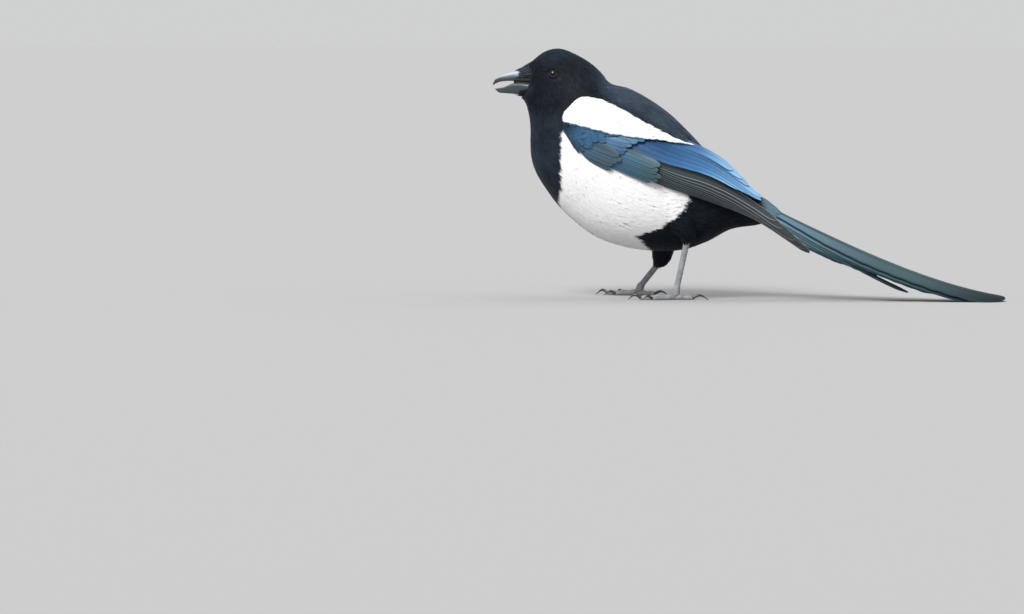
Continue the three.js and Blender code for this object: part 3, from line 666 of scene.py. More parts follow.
def new_node(tree, kind, values=(), **settings):
    """A node with its settings and its inputs."""
    node = tree.nodes.new("ShaderNode" + kind)
    for label, setting in settings.items():
        setattr(node, label, setting)
    feed_all(tree, node, dict(values))
    return node


def math_of(tree, kind, *values, clamp=False):
    node = new_node(tree, "Math", operation=kind, use_clamp=clamp)
    feed_all(tree, node, dict(enumerate(values)))
    return node.outputs[0]


def plus(tree, first, second):
    return math_of(tree, "ADD", first, second)


def times(tree, first, second):
    return math_of(tree, "MULTIPLY", first, second)


def blend_colours(tree, share, first, second, kind="MIX"):
    """Two colours mixed. The Mix node has them as its inputs 6 and 7 and its output 2."""
    values = {"Factor": share, 6: first, 7: second}
    return new_node(tree, "Mix", values, data_type="RGBA", blend_type=kind).outputs[2]


def ranged(tree, value, low, high, least=0.0, kind="LINEAR"):
    """A value's share of the way from one level to another, from a least share up to 1."""
    values = {"Value": value, "From Min": low, "From Max": high, "To Min": least}
    return new_node(tree, "MapRange", values, interpolation_type=kind).outputs["Result"]


def value_of(tree, label):
    return new_node(tree, "Attribute", attribute_name=label).outputs["Fac"]


def place_of(tree, kind="Object"):
    return new_node(tree, "TexCoord").outputs[kind]


def noise_of(tree, scale, detail=3.0, vector=None, stretch=None):
    """A noise value of the surface's place in metres, or of a given vector."""
    if vector is None:
        vector = place_of(tree)
    if stretch:
        vector = new_node(tree, "Mapping", {"Vector": vector, "Scale": stretch}).outputs["Vector"]
    values = {"Scale": scale, "Detail": detail, "Vector": vector}
    return new_node(tree, "TexNoise", values).outputs["Fac"]


def bump_of(tree, height, strength, distance):
    values = {"Height": height, "Strength": strength, "Distance": distance}
    return new_node(tree, "Bump", values).outputs["Normal"]


def new_material(name):
    material = bpy.data.materials.new(name)
    material.use_nodes = True
    return material, material.node_tree, material.node_tree.nodes["Principled BSDF"]


def barbs_group():
    """Fine barbs that leave the shaft aslant, from the map of each vane in millimetres."""
    tree = bpy.data.node_groups.new("Barbs", "ShaderNodeTree")
    for label, value in {"Pitch": 0.5, "Slant": 0.7, "Ragged": 0.4}.items():
        socket = tree.interface.new_socket(label, in_out="INPUT", socket_type="NodeSocketFloat")
        socket.default_value = value
    for label in ("Height", "Streak"):
        tree.interface.new_socket(label, in_out="OUTPUT", socket_type="NodeSocketFloat")
    start = tree.nodes.new("NodeGroupInput").outputs
    vane = new_node(tree, "UVMap", uv_map="Vane").outputs["UV"]
    split = new_node(tree, "SeparateXYZ", {"Vector": vane}).outputs
    wander = noise_of(tree, 1.3, 2.0, vane)
    slanted = times(tree, math_of(tree, "ABSOLUTE", split["X"]), start["Slant"])
    line = math_of(tree, "SUBTRACT", split["Y"], slanted)
    shaken = plus(tree, line, times(tree, wander, start["Ragged"]))
    phase = math_of(tree, "DIVIDE", times(tree, shaken, 2 * math.pi), start["Pitch"])
    height = math_of(tree, "MULTIPLY_ADD", math_of(tree, "SINE", phase), 0.5, 0.5)
    streak = noise_of(tree, 1.0, 4.0, vane, stretch=(0.5, 2.6, 1))
    feed_all(tree, tree.nodes.new("NodeGroupOutput"), {"Height": height, "Streak": streak})
    return tree


BARBS = barbs_group()
BARB_RELIEF = (0.2, 0.0001)  # the strength of the barbs' bump, and its height in metres


def place_barbs(tree, pitch, slant, ragged):
    values = {"Pitch": pitch, "Slant": slant, "Ragged": ragged}
    outputs = new_node(tree, "Group", values, node_tree=BARBS).outputs
    return outputs["Height"], outputs["Streak"]


def plumage_material(name, dark, deep, pale, grey):
    """The small feathers and the skin under them: black or white by the marking each carries, the black
    paler where painted sheen rides in its tone.
    """
    material, tree, shader = new_material(name)
    white = value_of(tree, "white")
    tone = value_of(tree, "tone")
    barbs, streak = place_barbs(tree, pitch=0.55, slant=0.8, ragged=0.6)
    # The black goes from deep towards dark with the random tone and streaks, and with the painted sheen
    # carried in the tone.
    tone_and_painted_sheen = times(tree, plus(tree, tone, times(tree, streak, 0.55)), noise_of(tree, 60.0))
    black = blend_colours(tree, tone_and_painted_sheen, deep, dark)
    clear = blend_colours(tree, times(tree, plus(tree, tone, streak), 0.5), grey, pale)
    feed_all(tree, shader, {
        "Base Color": blend_colours(tree, white, black, clear),
        "Roughness": plus(tree, times(tree, white, 0.2), 0.55),
        "Specular IOR Level": 0.06,
        "Sheen Weight": 0.06,
        "Sheen Roughness": 0.35,
        "Sheen Tint": (0.7, 0.84, 1.0),
        "Subsurface Weight": 0.25,
        "Subsurface Radius": (1.0, 0.95, 0.9),
        "Subsurface Scale": 0.0015,
        "Normal": bump_of(tree, barbs, *BARB_RELIEF),
    })
    return material


# Across a long vane, as shares of its half width: where the inner web gives way to the outer one, where the
# thin edge starts and is full, and where the shaft ends and is full
WEBS = (-0.12, 0.12)
EDGE = (0.82, 0.98)
SHAFT = (0.05, 0.025)
SHAFT_COLOUR = (0.008, 0.009, 0.011)


def vane_material(name, near, outer, inner, tip, edge, rough=0.32, metal=0.1, tip_from=0.75, shine=0.2,
                  fades=(0.2, 0.7)):
    """A long feather's vane. Its outer web goes from one colour near the root to another, its inner web has
    its own, and so have its tip, its thin edge and its dark shaft."""
    material, tree, shader = new_material(name)
    across = value_of(tree, "across")
    aside = math_of(tree, "ABSOLUTE", across)
    reach = value_of(tree, "reach")
    barbs, streak = place_barbs(tree, pitch=0.6, slant=0.9, ragged=0.25)
    graded = blend_colours(tree, ranged(tree, reach, *fades, kind="SMOOTHSTEP"), near, outer)
    colour = blend_colours(tree, ranged(tree, across, *WEBS), inner, graded)
    colour = blend_colours(tree, ranged(tree, reach, tip_from, 1.0, kind="SMOOTHSTEP"), colour, tip)
    colour = blend_colours(tree, ranged(tree, aside, *EDGE), colour, edge)
    shaft = times(tree, ranged(tree, aside, *SHAFT), 0.8)
    colour = blend_colours(tree, shaft, colour, SHAFT_COLOUR)
    streaks = math_of(tree, "MULTIPLY_ADD", streak, 0.5, 0.5)
    shade = plus(tree, times(tree, value_of(tree, "tone"), 0.35), streaks)
    hue = times(tree, math_of(tree, "SUBTRACT", noise_of(tree, 45.0, 2.0), 0.5), 0.05)
    values = {"Color": colour, "Value": plus(tree, shade, 0.2), "Hue": plus(tree, hue, 0.5)}
    feed_all(tree, shader, {
        "Base Color": new_node(tree, "HueSaturation", values).outputs["Color"],
        "Roughness": plus(tree, times(tree, streak, 0.2), rough),
        "Metallic": metal,
        "Specular IOR Level": shine,
        "Normal": bump_of(tree, barbs, *BARB_RELIEF),
    })
    return material


def horn_material(name, dark, light, ridge=None, rough=0.22, coat=0.25):
    """Dark horn with fine growth lines, paler where it is worn, and with a painted highlight in the ridge
    colour on the faces that look up.
    """
    material, tree, shader = new_material(name)
    lines = noise_of(tree, 160.0, 5.0, stretch=(0.35, 1.6, 2.4))
    colour = blend_colours(tree, lines, dark, light)
    # The ridge colour is a painted highlight, laid on where the surface faces up.
    if ridge:
        facing = new_node(tree, "SeparateXYZ", {"Vector": place_of(tree, "Normal")}).outputs["Z"]
        upward = ranged(tree, facing, 0.25, 0.9, kind="SMOOTHSTEP")
        uneven = math_of(tree, "MULTIPLY", plus(tree, lines, 0.7), upward, clamp=True)
        colour = blend_colours(tree, uneven, colour, ridge)
    feed_all(tree, shader, {
        "Base Color": colour,
        "Roughness": plus(tree, times(tree, noise_of(tree, 420.0, 2.0), 0.22), rough),
        "Coat Weight": coat,
        "Coat Roughness": 0.25,
        "Normal": bump_of(tree, lines, strength=0.25, distance=0.0003),
    })
    return material


def scale_material(name, dark, light, shine=0.35):
    """The scaly skin of shanks and toes: plates by their own relief, fine cracks between, dusty ridges."""
    material, tree, shader = new_material(name)
    values = {"Scale": 1500.0, "Vector": place_of(tree)}
    cells = new_node(tree, "TexVoronoi", values, feature="DISTANCE_TO_EDGE")
    crack = ranged(tree, cells.outputs["Distance"], 0.0, 0.1, 0.55)
    dust = noise_of(tree, 300.0, 4.0)
    feed_all(tree, shader, {
        "Base Color": blend_colours(tree, crack, dark, blend_colours(tree, dust, dark, light)),
        "Roughness": plus(tree, times(tree, dust, 0.3), 0.35),
        "Specular IOR Level": shine,
        "Normal": bump_of(tree, crack, strength=0.3, distance=0.00012),
    })
    return material


def eye_material():
    """A very dark brown iris round a black pupil, under a clear wet coat."""
    material, tree, shader = new_material("Eye")
    ramp = new_node(tree, "ValToRGB", {"Fac": value_of(tree, "from_middle")})
    stops = ramp.color_ramp.elements
    stops[0].position = 0.40
    stops[0].color = (0.002, 0.002, 0.002, 1)
    stops[1].position = 0.46
    stops[1].color = (0.026, 0.015, 0.009, 1)
    stops.new(0.72).color = (0.006, 0.004, 0.003, 1)
    flecks = noise_of(tree, 1500.0, 4.0)
    light = blend_colours(tree, flecks, (0.5, 0.5, 0.5), (1.3, 1.3, 1.3))
    feed_all(tree, shader, {
        "Base Color": blend_colours(tree, 1.0, ramp.outputs["Color"], light, "MULTIPLY"),
        "Roughness": times(tree, flecks, 0.2),
        "Specular IOR Level": 0.1,
        "Coat Weight": 1.0,
        "Coat Roughness": 0.02,
        "Coat IOR": 1.26,
    })
    return material


PLUMAGE = plumage_material(
    "Plumage", dark=(0.033, 0.048, 0.070), deep=(0.0015, 0.0025, 0.004),
    pale=(0.96, 0.96, 0.95), grey=(0.90, 0.90, 0.91),
)
SHOULDER = plumage_material(
    "Shoulder_plumage", dark=(0.045, 0.11, 0.20), deep=(0.03, 0.08, 0.15),
    pale=(0.86, 0.86, 0.85), grey=(0.78, 0.78, 0.79),
)
BLUE = vane_material(
    "Blue_vanes", near=(0.014, 0.052, 0.125), outer=(0.038, 0.112, 0.265), inner=(0.032, 0.098, 0.235),
    tip=(0.165, 0.335, 0.520), edge=(0.024, 0.072, 0.165), tip_from=0.58,
)
COVERT_BLUE = vane_material(
    "Covert_blue", near=(0.040, 0.105, 0.19), outer=(0.055, 0.14, 0.25), inner=(0.030, 0.08, 0.14),
    tip=(0.035, 0.09, 0.15), edge=(0.03, 0.07, 0.11), tip_from=0.6,
)
COVERT_TEAL = vane_material(
    "Covert_teal", near=(0.056, 0.145, 0.25), outer=(0.052, 0.120, 0.185), inner=(0.02, 0.04, 0.055),
    tip=(0.055, 0.10, 0.12), edge=(0.03, 0.05, 0.06), tip_from=0.6,
)
COVERT_SMALL = plumage_material(
    "Covert_small", dark=(0.024, 0.044, 0.064), deep=(0.014, 0.024, 0.036),
    pale=(0.055, 0.140, 0.26), grey=(0.040, 0.10, 0.19),
)
ALULA = vane_material(
    "Alula_vanes", near=(0.045, 0.110, 0.175), outer=(0.050, 0.100, 0.145), inner=(0.03, 0.05, 0.065),
    tip=(0.048, 0.082, 0.105), edge=(0.015, 0.02, 0.02), tip_from=0.5,
)
FLIGHT = vane_material(
    "Flight_vanes", near=(0.020, 0.032, 0.036), outer=(0.020, 0.026, 0.030), inner=(0.008, 0.010, 0.012),
    tip=(0.028, 0.034, 0.040), edge=(0.22, 0.24, 0.25), rough=0.4, metal=0.05,
)
TAIL_TEAL = vane_material(
    "Tail_vanes", near=(0.098, 0.165, 0.225), outer=(0.040, 0.072, 0.082), inner=(0.028, 0.062, 0.075),
    tip=(0.008, 0.014, 0.018), edge=(0.015, 0.030, 0.038), rough=0.4, tip_from=0.6, shine=0.06,
    fades=(0.0, 0.62),
)
TAIL_SMALL = plumage_material(
    "Tail_coverts", dark=(0.012, 0.016, 0.020), deep=(0.002, 0.003, 0.004),
    pale=(0.120, 0.200, 0.260), grey=(0.085, 0.15, 0.19),
)
ARM = plumage_material(
    "Arm_plumage", dark=(0.030, 0.065, 0.10), deep=(0.02, 0.045, 0.07),
    pale=(0.93, 0.93, 0.93), grey=(0.85, 0.85, 0.85),
)
# The third colour of each bill is its painted highlight on the faces that look up.
UPPER_HORN = horn_material("Upper_horn", (0.012, 0.015, 0.018), (0.034, 0.042, 0.050), (0.36, 0.42, 0.50))
LOWER_HORN = horn_material("Lower_horn", (0.018, 0.024, 0.028), (0.046, 0.062, 0.072), (0.10, 0.13, 0.155))
CLAW_HORN = horn_material("Claw_horn", (0.012, 0.012, 0.013), (0.04, 0.04, 0.042))
# Mouth skin, near black as painted shade of the mouth's inside.
MOUTH_SKIN_AND_SHADE = horn_material("Mouth_skin_and_shade", (0.006, 0.006, 0.007), (0.018, 0.014, 0.016), rough=0.5, coat=0.0)
SCALES = scale_material("Scales", (0.11, 0.115, 0.125), (0.32, 0.33, 0.35))
LID = scale_material("Lid_skin", (0.005, 0.005, 0.006), (0.020, 0.020, 0.022), 0.15)
EYE = eye_material()


# The skin
SKIN_CELL = 0.0011  # in metres, the size of the cells in which body and thighs melt into one
RIGHT_THIGH_DARK = 50  # below this height the right thigh has no white


def near_thigh(p, name, reach):
    """Whether a place lies within a share of a thigh's own width from its middle line."""
    limb = thighs[name]
    near = np.zeros(p.shape[:-1], bool)
    for x, y, z, fore, across in limb.line(np.linspace(0, limb.last, 24)):
        near |= np.linalg.norm(p - np.array([x, y, z]), axis=-1) < reach * min(fore, across)
    return near


def make_skin():
    """The bird's own flesh in one piece: body and thighs, a coat's depth inside the solids it replaces."""
    parts = [body.rings(0, body.last - 0.7, count=160, around=96, lift=-COAT_DEPTH)]
    for limb in thighs.values():
        parts.append(limb.rings(0, limb.last, count=60, around=48, lift=-COAT_DEPTH))
    points = []
    faces = []
    for rings in parts:
        base = sum(len(p) for p in points)
        some, quads = closed_rings(rings)
        points.append(some)
        faces += [[base + k for k in f] for f in quads]
    piece = add_mesh("skin", in_scene(np.vstack(points)), faces)
    melt = piece.modifiers.new("Melt", "REMESH")
    melt.mode = "VOXEL"
    melt.voxel_size = SKIN_CELL
    ease = piece.modifiers.new("Ease", "SMOOTH")
    ease.factor = 0.5
    ease.iterations = 4
    depsgraph = bpy.context.evaluated_depsgraph_get()
    melted = bpy.data.meshes.new_from_object(piece.evaluated_get(depsgraph))
    piece.modifiers.clear()
    piece.data = melted
    place = np.zeros(len(melted.vertices) * 3)
    melted.vertices.foreach_get("co", place)
    place = place.reshape(-1, 3) * PER_METRE + ORIGIN
    on_dark_thigh = near_thigh(place, "right", 1.15) & (place[:, 2] < RIGHT_THIGH_DARK)
    give_values(melted, "white", np.where(on_dark_thigh, 0.0, white_share(place)))
    give_values(melted, "tone", np.full(len(place), 0.1))
    corner = np.zeros(len(melted.loops), int)
    melted.loops.foreach_get("vertex_index", corner)
    give_map(melted, "Vane", place[corner][:, [1, 0]])
    finish_piece(piece, PLUMAGE, ("head", "neck", "torso", "thigh_left", "thigh_right"))


make_skin()


# The coat of small feathers
# Their length and half width at some slices of the body, and how many lie over one another
COAT_AT = [0, 1.5, 3, 4.5, 6, 8, 10, 12, 14, 16]
COAT_LENGTH = [2.6, 3.6, 4.6, 5.6, 7.2, 8.8, 9.8, 10.2, 10.2, 9.5]
COAT_HALF = [0.38, 0.46, 0.56, 0.68, 0.84, 1.0, 1.12, 1.18, 1.15, 1.05]
COAT_COVER = 3.5
THIGH_COVER = 3.2
# Each band of the coat: its first and last slice, and the part that it belongs to
COAT_BANDS = {
    "coat_face": (0.02, 2.2, "head"),
    "coat_crown": (2.2, 4.0, "head"),
    "coat_nape": (4.0, 5.6, "head"),
    "coat_neck": (5.6, 7.3, "neck"),
    "coat_throat": (7.3, 8.6, "neck"),
    "coat_breast": (8.6, 9.8, "torso"),
    "coat_flank": (9.8, 11.0, "torso"),
    "coat_belly": (11.0, 12.4, "torso"),
    "coat_rump": (12.4, 14.2, "torso"),
    "coat_vent": (14.2, 15.9, "torso"),
}


def eye_place(side, outwards=0.0):
    """A place straight out from the body at an eye, and the way out."""
    s = np.array(EYE_SLICE)
    turn = np.array(-side * EYE_TURN)
    out = body.ways(s, turn)[2]
    return body.bare(s, turn) + out * outwards, out


def under_wing(p):
    """Where a folded wing hides the body, well inside its outline."""
    x, y, z = np.moveaxis(p, -1, 0)
    roof = np.interp(x, BACK_X, [136, 140, 136, 116, 98, 76])
    eaves = np.interp(x, BACK_X, [126, 116, 108, 96, 86, 70])
    return (np.abs(y) > 17) & (x > -60) & (z < roof) & (z > eaves)


def coat_size(s):
    """The usual length and half width of a small feather of the body."""
    return np.interp(s, COAT_AT, COAT_LENGTH), np.interp(s, COAT_AT, COAT_HALF)


def coat_crowding(s, turn, p):
    """Roots to a square millimetre: few under the wings, none on the thighs or where the tail starts."""
    length, half = coat_size(s)
    patch = TUFT_AREA * length * half
    bare = near_thigh(p, "left", 0.85) | near_thigh(p, "right", 0.85) | ((s > 14.8) & (np.cos(turn) > 0.1))
    fuller = 1 + 0.3 * white_share(p)
    return np.where(bare, 0.0, np.where(under_wing(p), 0.25, fuller)) * COAT_COVER / patch


def thigh_crowding(s, _turn, _p):
    return np.full(np.shape(s), THIGH_COVER / (TUFT_AREA * 7.2 * 0.95))


def make_coat():
    eyes = [(eye_place(side)[0], EYE_BARE) for side in SIDES.values()]
    for band, (name, (first, last, slot)) in enumerate(COAT_BANDS.items()):
        draw = draws("coat", band)
        s, turn = scatter(body, first, last, coat_crowding, draw)
        length, half = coat_size(s)
        length = length * draw.uniform(0.85, 1.15, len(s))
        half = half * draw.uniform(0.85, 1.2, len(s))
        levels = (np.full(len(s), COAT_DEPTH), draw.normal(0.0, 0.045, len(s)))
        tufts(name, slot, body, (s, turn), (length, half), levels, PLUMAGE, draw, body_marks, clear=eyes)


def make_thigh_coat(name, side):
    """The thigh's feathers, which sweep backwards on its outer face."""
    draw = draws("thighs", side)
    limb = thighs[name]
    s, turn = scatter(limb, 0.6, limb.last - 0.05, thigh_crowding, draw)
    length = draw.uniform(6.0, 8.5, len(s)) * np.interp(s, [0, 3.5, limb.last], [1, 0.9, 0.5])
    half = draw.uniform(0.8, 1.15, len(s)) * np.interp(s, [0, 3.5, limb.last], [1, 0.9, 0.6])
    levels = (np.full(len(s), COAT_DEPTH), draw.normal(0.1, 0.1, len(s)))
    outward = np.clip(limb.ways(s, turn)[2][:, 1] * side, 0, 1)
    lean = -side * outward * np.interp(s, [0, 2.5, 4.2], [1.1, 0.8, 0.1])
    marks = body_marks if side == LEFT else all_dark
    sizes = (length, half)
    part = "thigh_" + name
    tufts("coat_" + part, part, limb, (s, turn), sizes, levels, PLUMAGE, draw, marks, lean)


make_coat()
for name, side in SIDES.items():
    make_thigh_coat(name, side)


# The long feathers
VANE_COLUMNS = np.array([-1, -0.93, -0.75, -0.5, -0.25, -0.05, 0, 0.05, 0.25, 0.5, 0.75, 0.93, 1])
LEAST_HEIGHT = 0.02  # no long feather goes lower than this over the floor


def vane_width(t, round_tip=0.25, least=0.2):
    """The share of a vane's full width, rounded off over the last part of its length."""
    opening = np.minimum(1, 0.55 + t * 1.5)
    closing = np.sqrt(np.maximum(0, 1 - (np.maximum(0, t - 1 + round_tip) / round_tip) ** 2))
    return opening * np.maximum(least, closing)


def feathers(name, slot, places, rows, material, draw, thick=0.35, replaces=(), marks=0.0):
    """Long feathers in one piece. Each has a place(t, a), which gives points and the way out of the vane for
    t from root to tip and a across, then its length, its half width, and the side of its outer web."""
    quads, row, column, face = lens(rows, len(VANE_COLUMNS))
    t = (1 - (1 - np.linspace(0, 1, rows)) ** 1.6)[row]
    a = VANE_COLUMNS[column]
    strip = 1.0 / len(places)
    under = np.where(face[quads].sum(1) > 0, 0.0, 0.5)[:, None]
    points = []
    vane = []
    bake = []
    for k, (place, length, half, _) in enumerate(places):
        nick = 1 + 0.02 * np.sin(t * 90 + k) * (abs(a) > 0.9) * draw.uniform(0, 1.5)
        p, out = place(t, a * nick)
        ridge = 0.22 * np.exp(-((a / 0.05) ** 2)) * (1 - 0.8 * t) * (face >= 0)
        slim = face * thick * 0.5 * (1 - 0.6 * t)
        points.append(p + out * (ridge + slim)[:, None])
        vane.append(np.stack([a * half, t * length], -1) + 13.7 * k)
        over = (k + 0.08 + 0.84 * (a[quads] + 1) / 2) * strip
        bake.append(np.stack([0.02 + 0.46 * t[quads] + under, over], -1))
    count = len(points)
    values = {
        "across": np.concatenate([a * outer_side for *_, outer_side in places]),
        "reach": np.tile(t, count),
        "tone": np.repeat(draw.uniform(0, 1, count), len(t)),
        "white": np.full(count * len(t), marks),
    }
    maps = {"OFBake": np.array(bake), "Vane": np.array(vane)[:, quads.ravel()]}
    points = np.array(points).reshape(-1, 3)
    points[:, 2] = np.maximum(points[:, 2], LEAST_HEIGHT)
    faces = repeated(quads, count, len(t))
    make_piece(name, slot, points, faces, material, maps, values, replaces, sharp=True)


def along_path(path, share):
    """A place along a broken line of [u, v] places, by its share from first to last."""
    path = np.array(path, float)
    where = share * (len(path) - 1)
    return np.array([np.interp(where, np.arange(len(path)), path[:, k]) for k in range(2)])


# The wings
# Each tier of long feathers has its number of feathers, the roots of its first and last one, the line of its
# tips, the half widths of the first and last, how high root and tip lie over the sheet and how much higher
# each feather lies than the one below it there, how it tilts, and how much of its end is rounded
WING_TIERS = {
    "primaries": {
        "count": 10,
        "roots": [(0.42, 0.64), (0.34, 0.94)],
        "tips": [(0.9, 0.42), (0.96, 0.58), (1, 0.76), (0.975, 0.9), (0.91, 0.98), (0.83, 1.04)],
        "half": (4.4, 3.0), "lift": (-1.9, -1.4), "stack": (0.15, 0.3), "tilt": 0.4, "tip": 0.08,
    },
    "secondaries": {
        "count": 10,
        "roots": [(0.38, 0.12), (0.33, 0.56)],
        "tips": [(0.74, 0.04), (0.82, 0.06), (0.855, 0.11), (0.85, 0.18), (0.83, 0.23), (0.79, 0.30)],
        "half": (6.8, 4.2), "lift": (-0.9, 1.5), "stack": (0.0, 0.24), "tilt": 0.35, "tip": 0.1,
    },
    "primary_coverts": {
        "count": 8,
        "roots": [(0.22, 0.66), (0.2, 0.95)],
        "tips": [(0.47, 0.64), (0.475, 0.8), (0.45, 0.97)],
        "half": (3.2, 2.4), "lift": (-0.9, 1.6), "stack": (0.0, 0.08), "tilt": 0.3, "tip": 0.12,
    },
    "greater_coverts": {
        "count": 10,
        "roots": [(0.18, 0.34), (0.17, 0.66)],
        "tips": [(0.43, 0.29), (0.41, 0.40), (0.385, 0.52), (0.36, 0.66)],
        "half": (3.8, 3.0), "lift": (-0.9, 1.9), "stack": (0.0, 0.05), "tilt": 0.3, "tip": 0.15,
    },
    "alula": {
        "count": 5,
        "roots": [(0.1, 0.72), (0.08, 0.96)],
        "tips": [(0.345, 0.73), (0.335, 0.85), (0.29, 0.98)],
        "half": (3.6, 2.8), "lift": (-0.9, 2.2), "stack": (0.0, 0.08), "tilt": 0.3, "tip": 0.15,
    },
}
# The rows of points along each tier's vanes, and its material
TIER_LOOKS = {
    "primaries": (26, FLIGHT),
    "secondaries": (26, BLUE),
    "primary_coverts": (18, COVERT_TEAL),
    "greater_coverts": (18, COVERT_BLUE),
    "alula": (18, ALULA),
}
# The folded arm under the coverts: how far back it reaches, and for its outer and its inner face the height
# over the sheet, and the height where it has thinned out
ARM_END = 0.52
ARM_FACES = ((0.6, -1.8), (-6.0, -2.6))
ARM_RINGS = 26
ARM_AROUND = 22
# The usual length and half width of a feather of the white shoulder
SHOULDER_LENGTH = 7.0
SHOULDER_HALF = 0.8
WING_LEAN = 0.04  # the turn in radians of a wing's small feathers from the way along its sheet


def wing_places(sheet, draw, count, roots, tips, half, lift, stack, tilt, tip):
    """Feathers side by side on a wing's sheet, from the upper edge down. Each lies under the one above."""
    places = []
    for i in range(count):
        share = i / (count - 1)
        root = mix(np.array(roots[0]), np.array(roots[1]), share)
        end = along_path(tips, share) + draw.normal(0, 0.006, 2)
        wide = mix(half[0], half[1], share) * draw.uniform(0.94, 1.06)
        level = count - 1 - i

        def place(t, a, root=root, end=end, wide=wide, level=level):
            u = mix(root[0], end[0], t)
            v = mix(root[1], end[1], t)
            span = np.linalg.norm(sheet.ways(u, v)[1], axis=-1)
            w = v + a * wide * vane_width(t, tip) / span
            out = sheet.ways(u, w)[2]
            up = mix(lift[0], lift[1], t) + level * mix(stack[0], stack[1], t) + tilt * a
            up = up + 0.1 * wide * (1 - a * a) * 0.6
            return sheet.bare(u, w) + out * up[..., None], out

        length = np.linalg.norm(sheet.bare(end[0], end[1]) - sheet.bare(root[0], root[1]))
        places.append((place, length, wide, 1.0))
    return places


def white_top(u):
    """The upper edge of the white shoulder on a wing's sheet."""
    at = [0.0, 0.02, 0.05, 0.1, 0.16, 0.27, 0.33, 0.4, 0.53, 0.6]
    return np.interp(u, at, [0.12, 0.03, -0.03, -0.03, -0.01, 0.04, 0.08, 0.11, 0.10, 0.06])


def white_above(u):
    """The lower edge of the white shoulder, over the blue."""
    at = [0, 0.2, 0.27, 0.32, 0.36, 0.41, 0.46, 0.54, 0.6]
    return np.interp(u, at, [0.48, 0.48, 0.48, 0.47, 0.43, 0.37, 0.27, 0.13, 0.04])


def arm_top(u):
    """The upper edge of the folded arm, which leans over to the neck at the front."""
    return np.interp(u, [0, 0.03, 0.16, 0.3], [-0.02, -0.08, -0.06, 0])


def wing_arm(sheet):
    """The folded arm as rings from the bend backwards, and how white each point is."""
    rings = []
    marks = []
    for share in np.linspace(0, 1, ARM_RINGS):
        u = share * ARM_END
        end = math.sqrt(max(0.03, 1 - (1 - min(1, share * 4)) ** 2))
        thin = smooth(0.3, ARM_END, u)
        ring = []
        for face, thinned in ARM_FACES:
            for j in range(ARM_AROUND):
                down = (j if face > 0 else ARM_AROUND - j) / ARM_AROUND
                v = mix(arm_top(u), 1, down)
                edge = math.sqrt(max(0, 1 - (2 * down - 1) ** 4))
                out = sheet.ways(np.array(u), np.array(v))[2]
                ring.append(sheet.bare(u, v) + out * mix(face * edge * end, thinned, thin))
                # Only the outer face is white. The inner face stays dark as painted shade in the gap against
                # the body, and the strip along the top stays dark partly as the mantle's black and partly as
                # painted shade.
                marks.append(float(face > 0 and white_top(u) + 0.04 < v < white_above(u)))
        rings.append(ring)
    return rings, [*marks, marks[0], marks[-1]]


def covert_size(u):
    """The usual length and half width of a small covert of the arm."""
    return np.interp(u, [0, 0.12, 0.25], [4.5, 7.0, 10.0]), np.interp(u, [0, 0.12, 0.25], [0.95, 1.4, 1.9])


def covert_crowd(u, v, _p):
    """Roots of the small coverts: from the bend back to where the greater coverts start."""
    lower = np.interp(u, [0, 0.08, 0.16, 0.22], [1.08, 1.05, 0.8, 0.62])
    inside = (v > white_above(u) - 0.06) & (v < lower) & (u < 0.27 - 0.1 * (v - 0.5))
    length, half = covert_size(u)
    return np.where(inside, 3.4 / (TUFT_AREA * (length * half)), 0.0)


def covert_marks(u, v, _p):
    """Bluer from the bend backwards, and dark again along the lower edge."""
    return smooth(0.05, 0.2, u + 0.3 * (v - 0.55)) * (1 - 0.6 * smooth(0.7, 1.0, v))


def shoulder_patch(u):
    """The area of one feather of the shoulder, smaller towards the bend."""
    return TUFT_AREA * SHOULDER_LENGTH * SHOULDER_HALF * np.interp(u, [0, 0.05, 0.15], [0.33, 0.6, 1])


def shoulder_crowd(u, v, _p):
    inside = (v < white_above(u + 0.03) + 0.02) & (v > white_top(u + 0.03) + 0.01)
    return np.where(inside, 4.0 / shoulder_patch(u), 0.0)


def shoulder_marks(u, v, _p):
    """White down to the shoulder's lower edge, and blue on the tips that reach over it."""
    border = white_above(u) + 0.006 * np.sin(90 * u) + 0.004 * np.sin(230 * u + 1)
    return smooth(-0.008, 0.008, border - v)


def scapular_crowd(u, v, _p):
    """Roots of the dark feathers that come down from the mantle over the wing's upper edge."""
    edge = white_top(u + 0.03)
    inside = (v < edge - 0.01) & (v > edge - mix(0.15, 0.11, smooth(0.3, 0.5, u))) & (u < 0.53)
    return np.where(inside, 3.6 / shoulder_patch(u), 0.0)


def scapular_marks(u, v, _p):
    return smooth(-0.006, 0.006, v - white_top(u))


def cover_arm(own, sheet, draw):
    """The small coverts of the folded arm."""
    u, v = scatter(sheet, -0.01, 0.30, covert_crowd, draw, (0.3, 1.15))
    length, half = covert_size(u)
    length = length * draw.uniform(0.85, 1.15, len(u))
    half = half * draw.uniform(0.9, 1.15, len(u))
    at = [0.0, 0.02, 0.12, 0.3]
    low = np.interp(u, at, [0.3, 0.3, 0.3, 0.6])
    high = np.interp(u, at, [1.0, 1.3, 1.9, 2.4]) + draw.normal(0, 0.03, len(u))
    name = own + "_lesser"
    tufts(name, own, sheet, (u, v), (length, half), (low, high), COVERT_SMALL, draw, covert_marks, WING_LEAN)


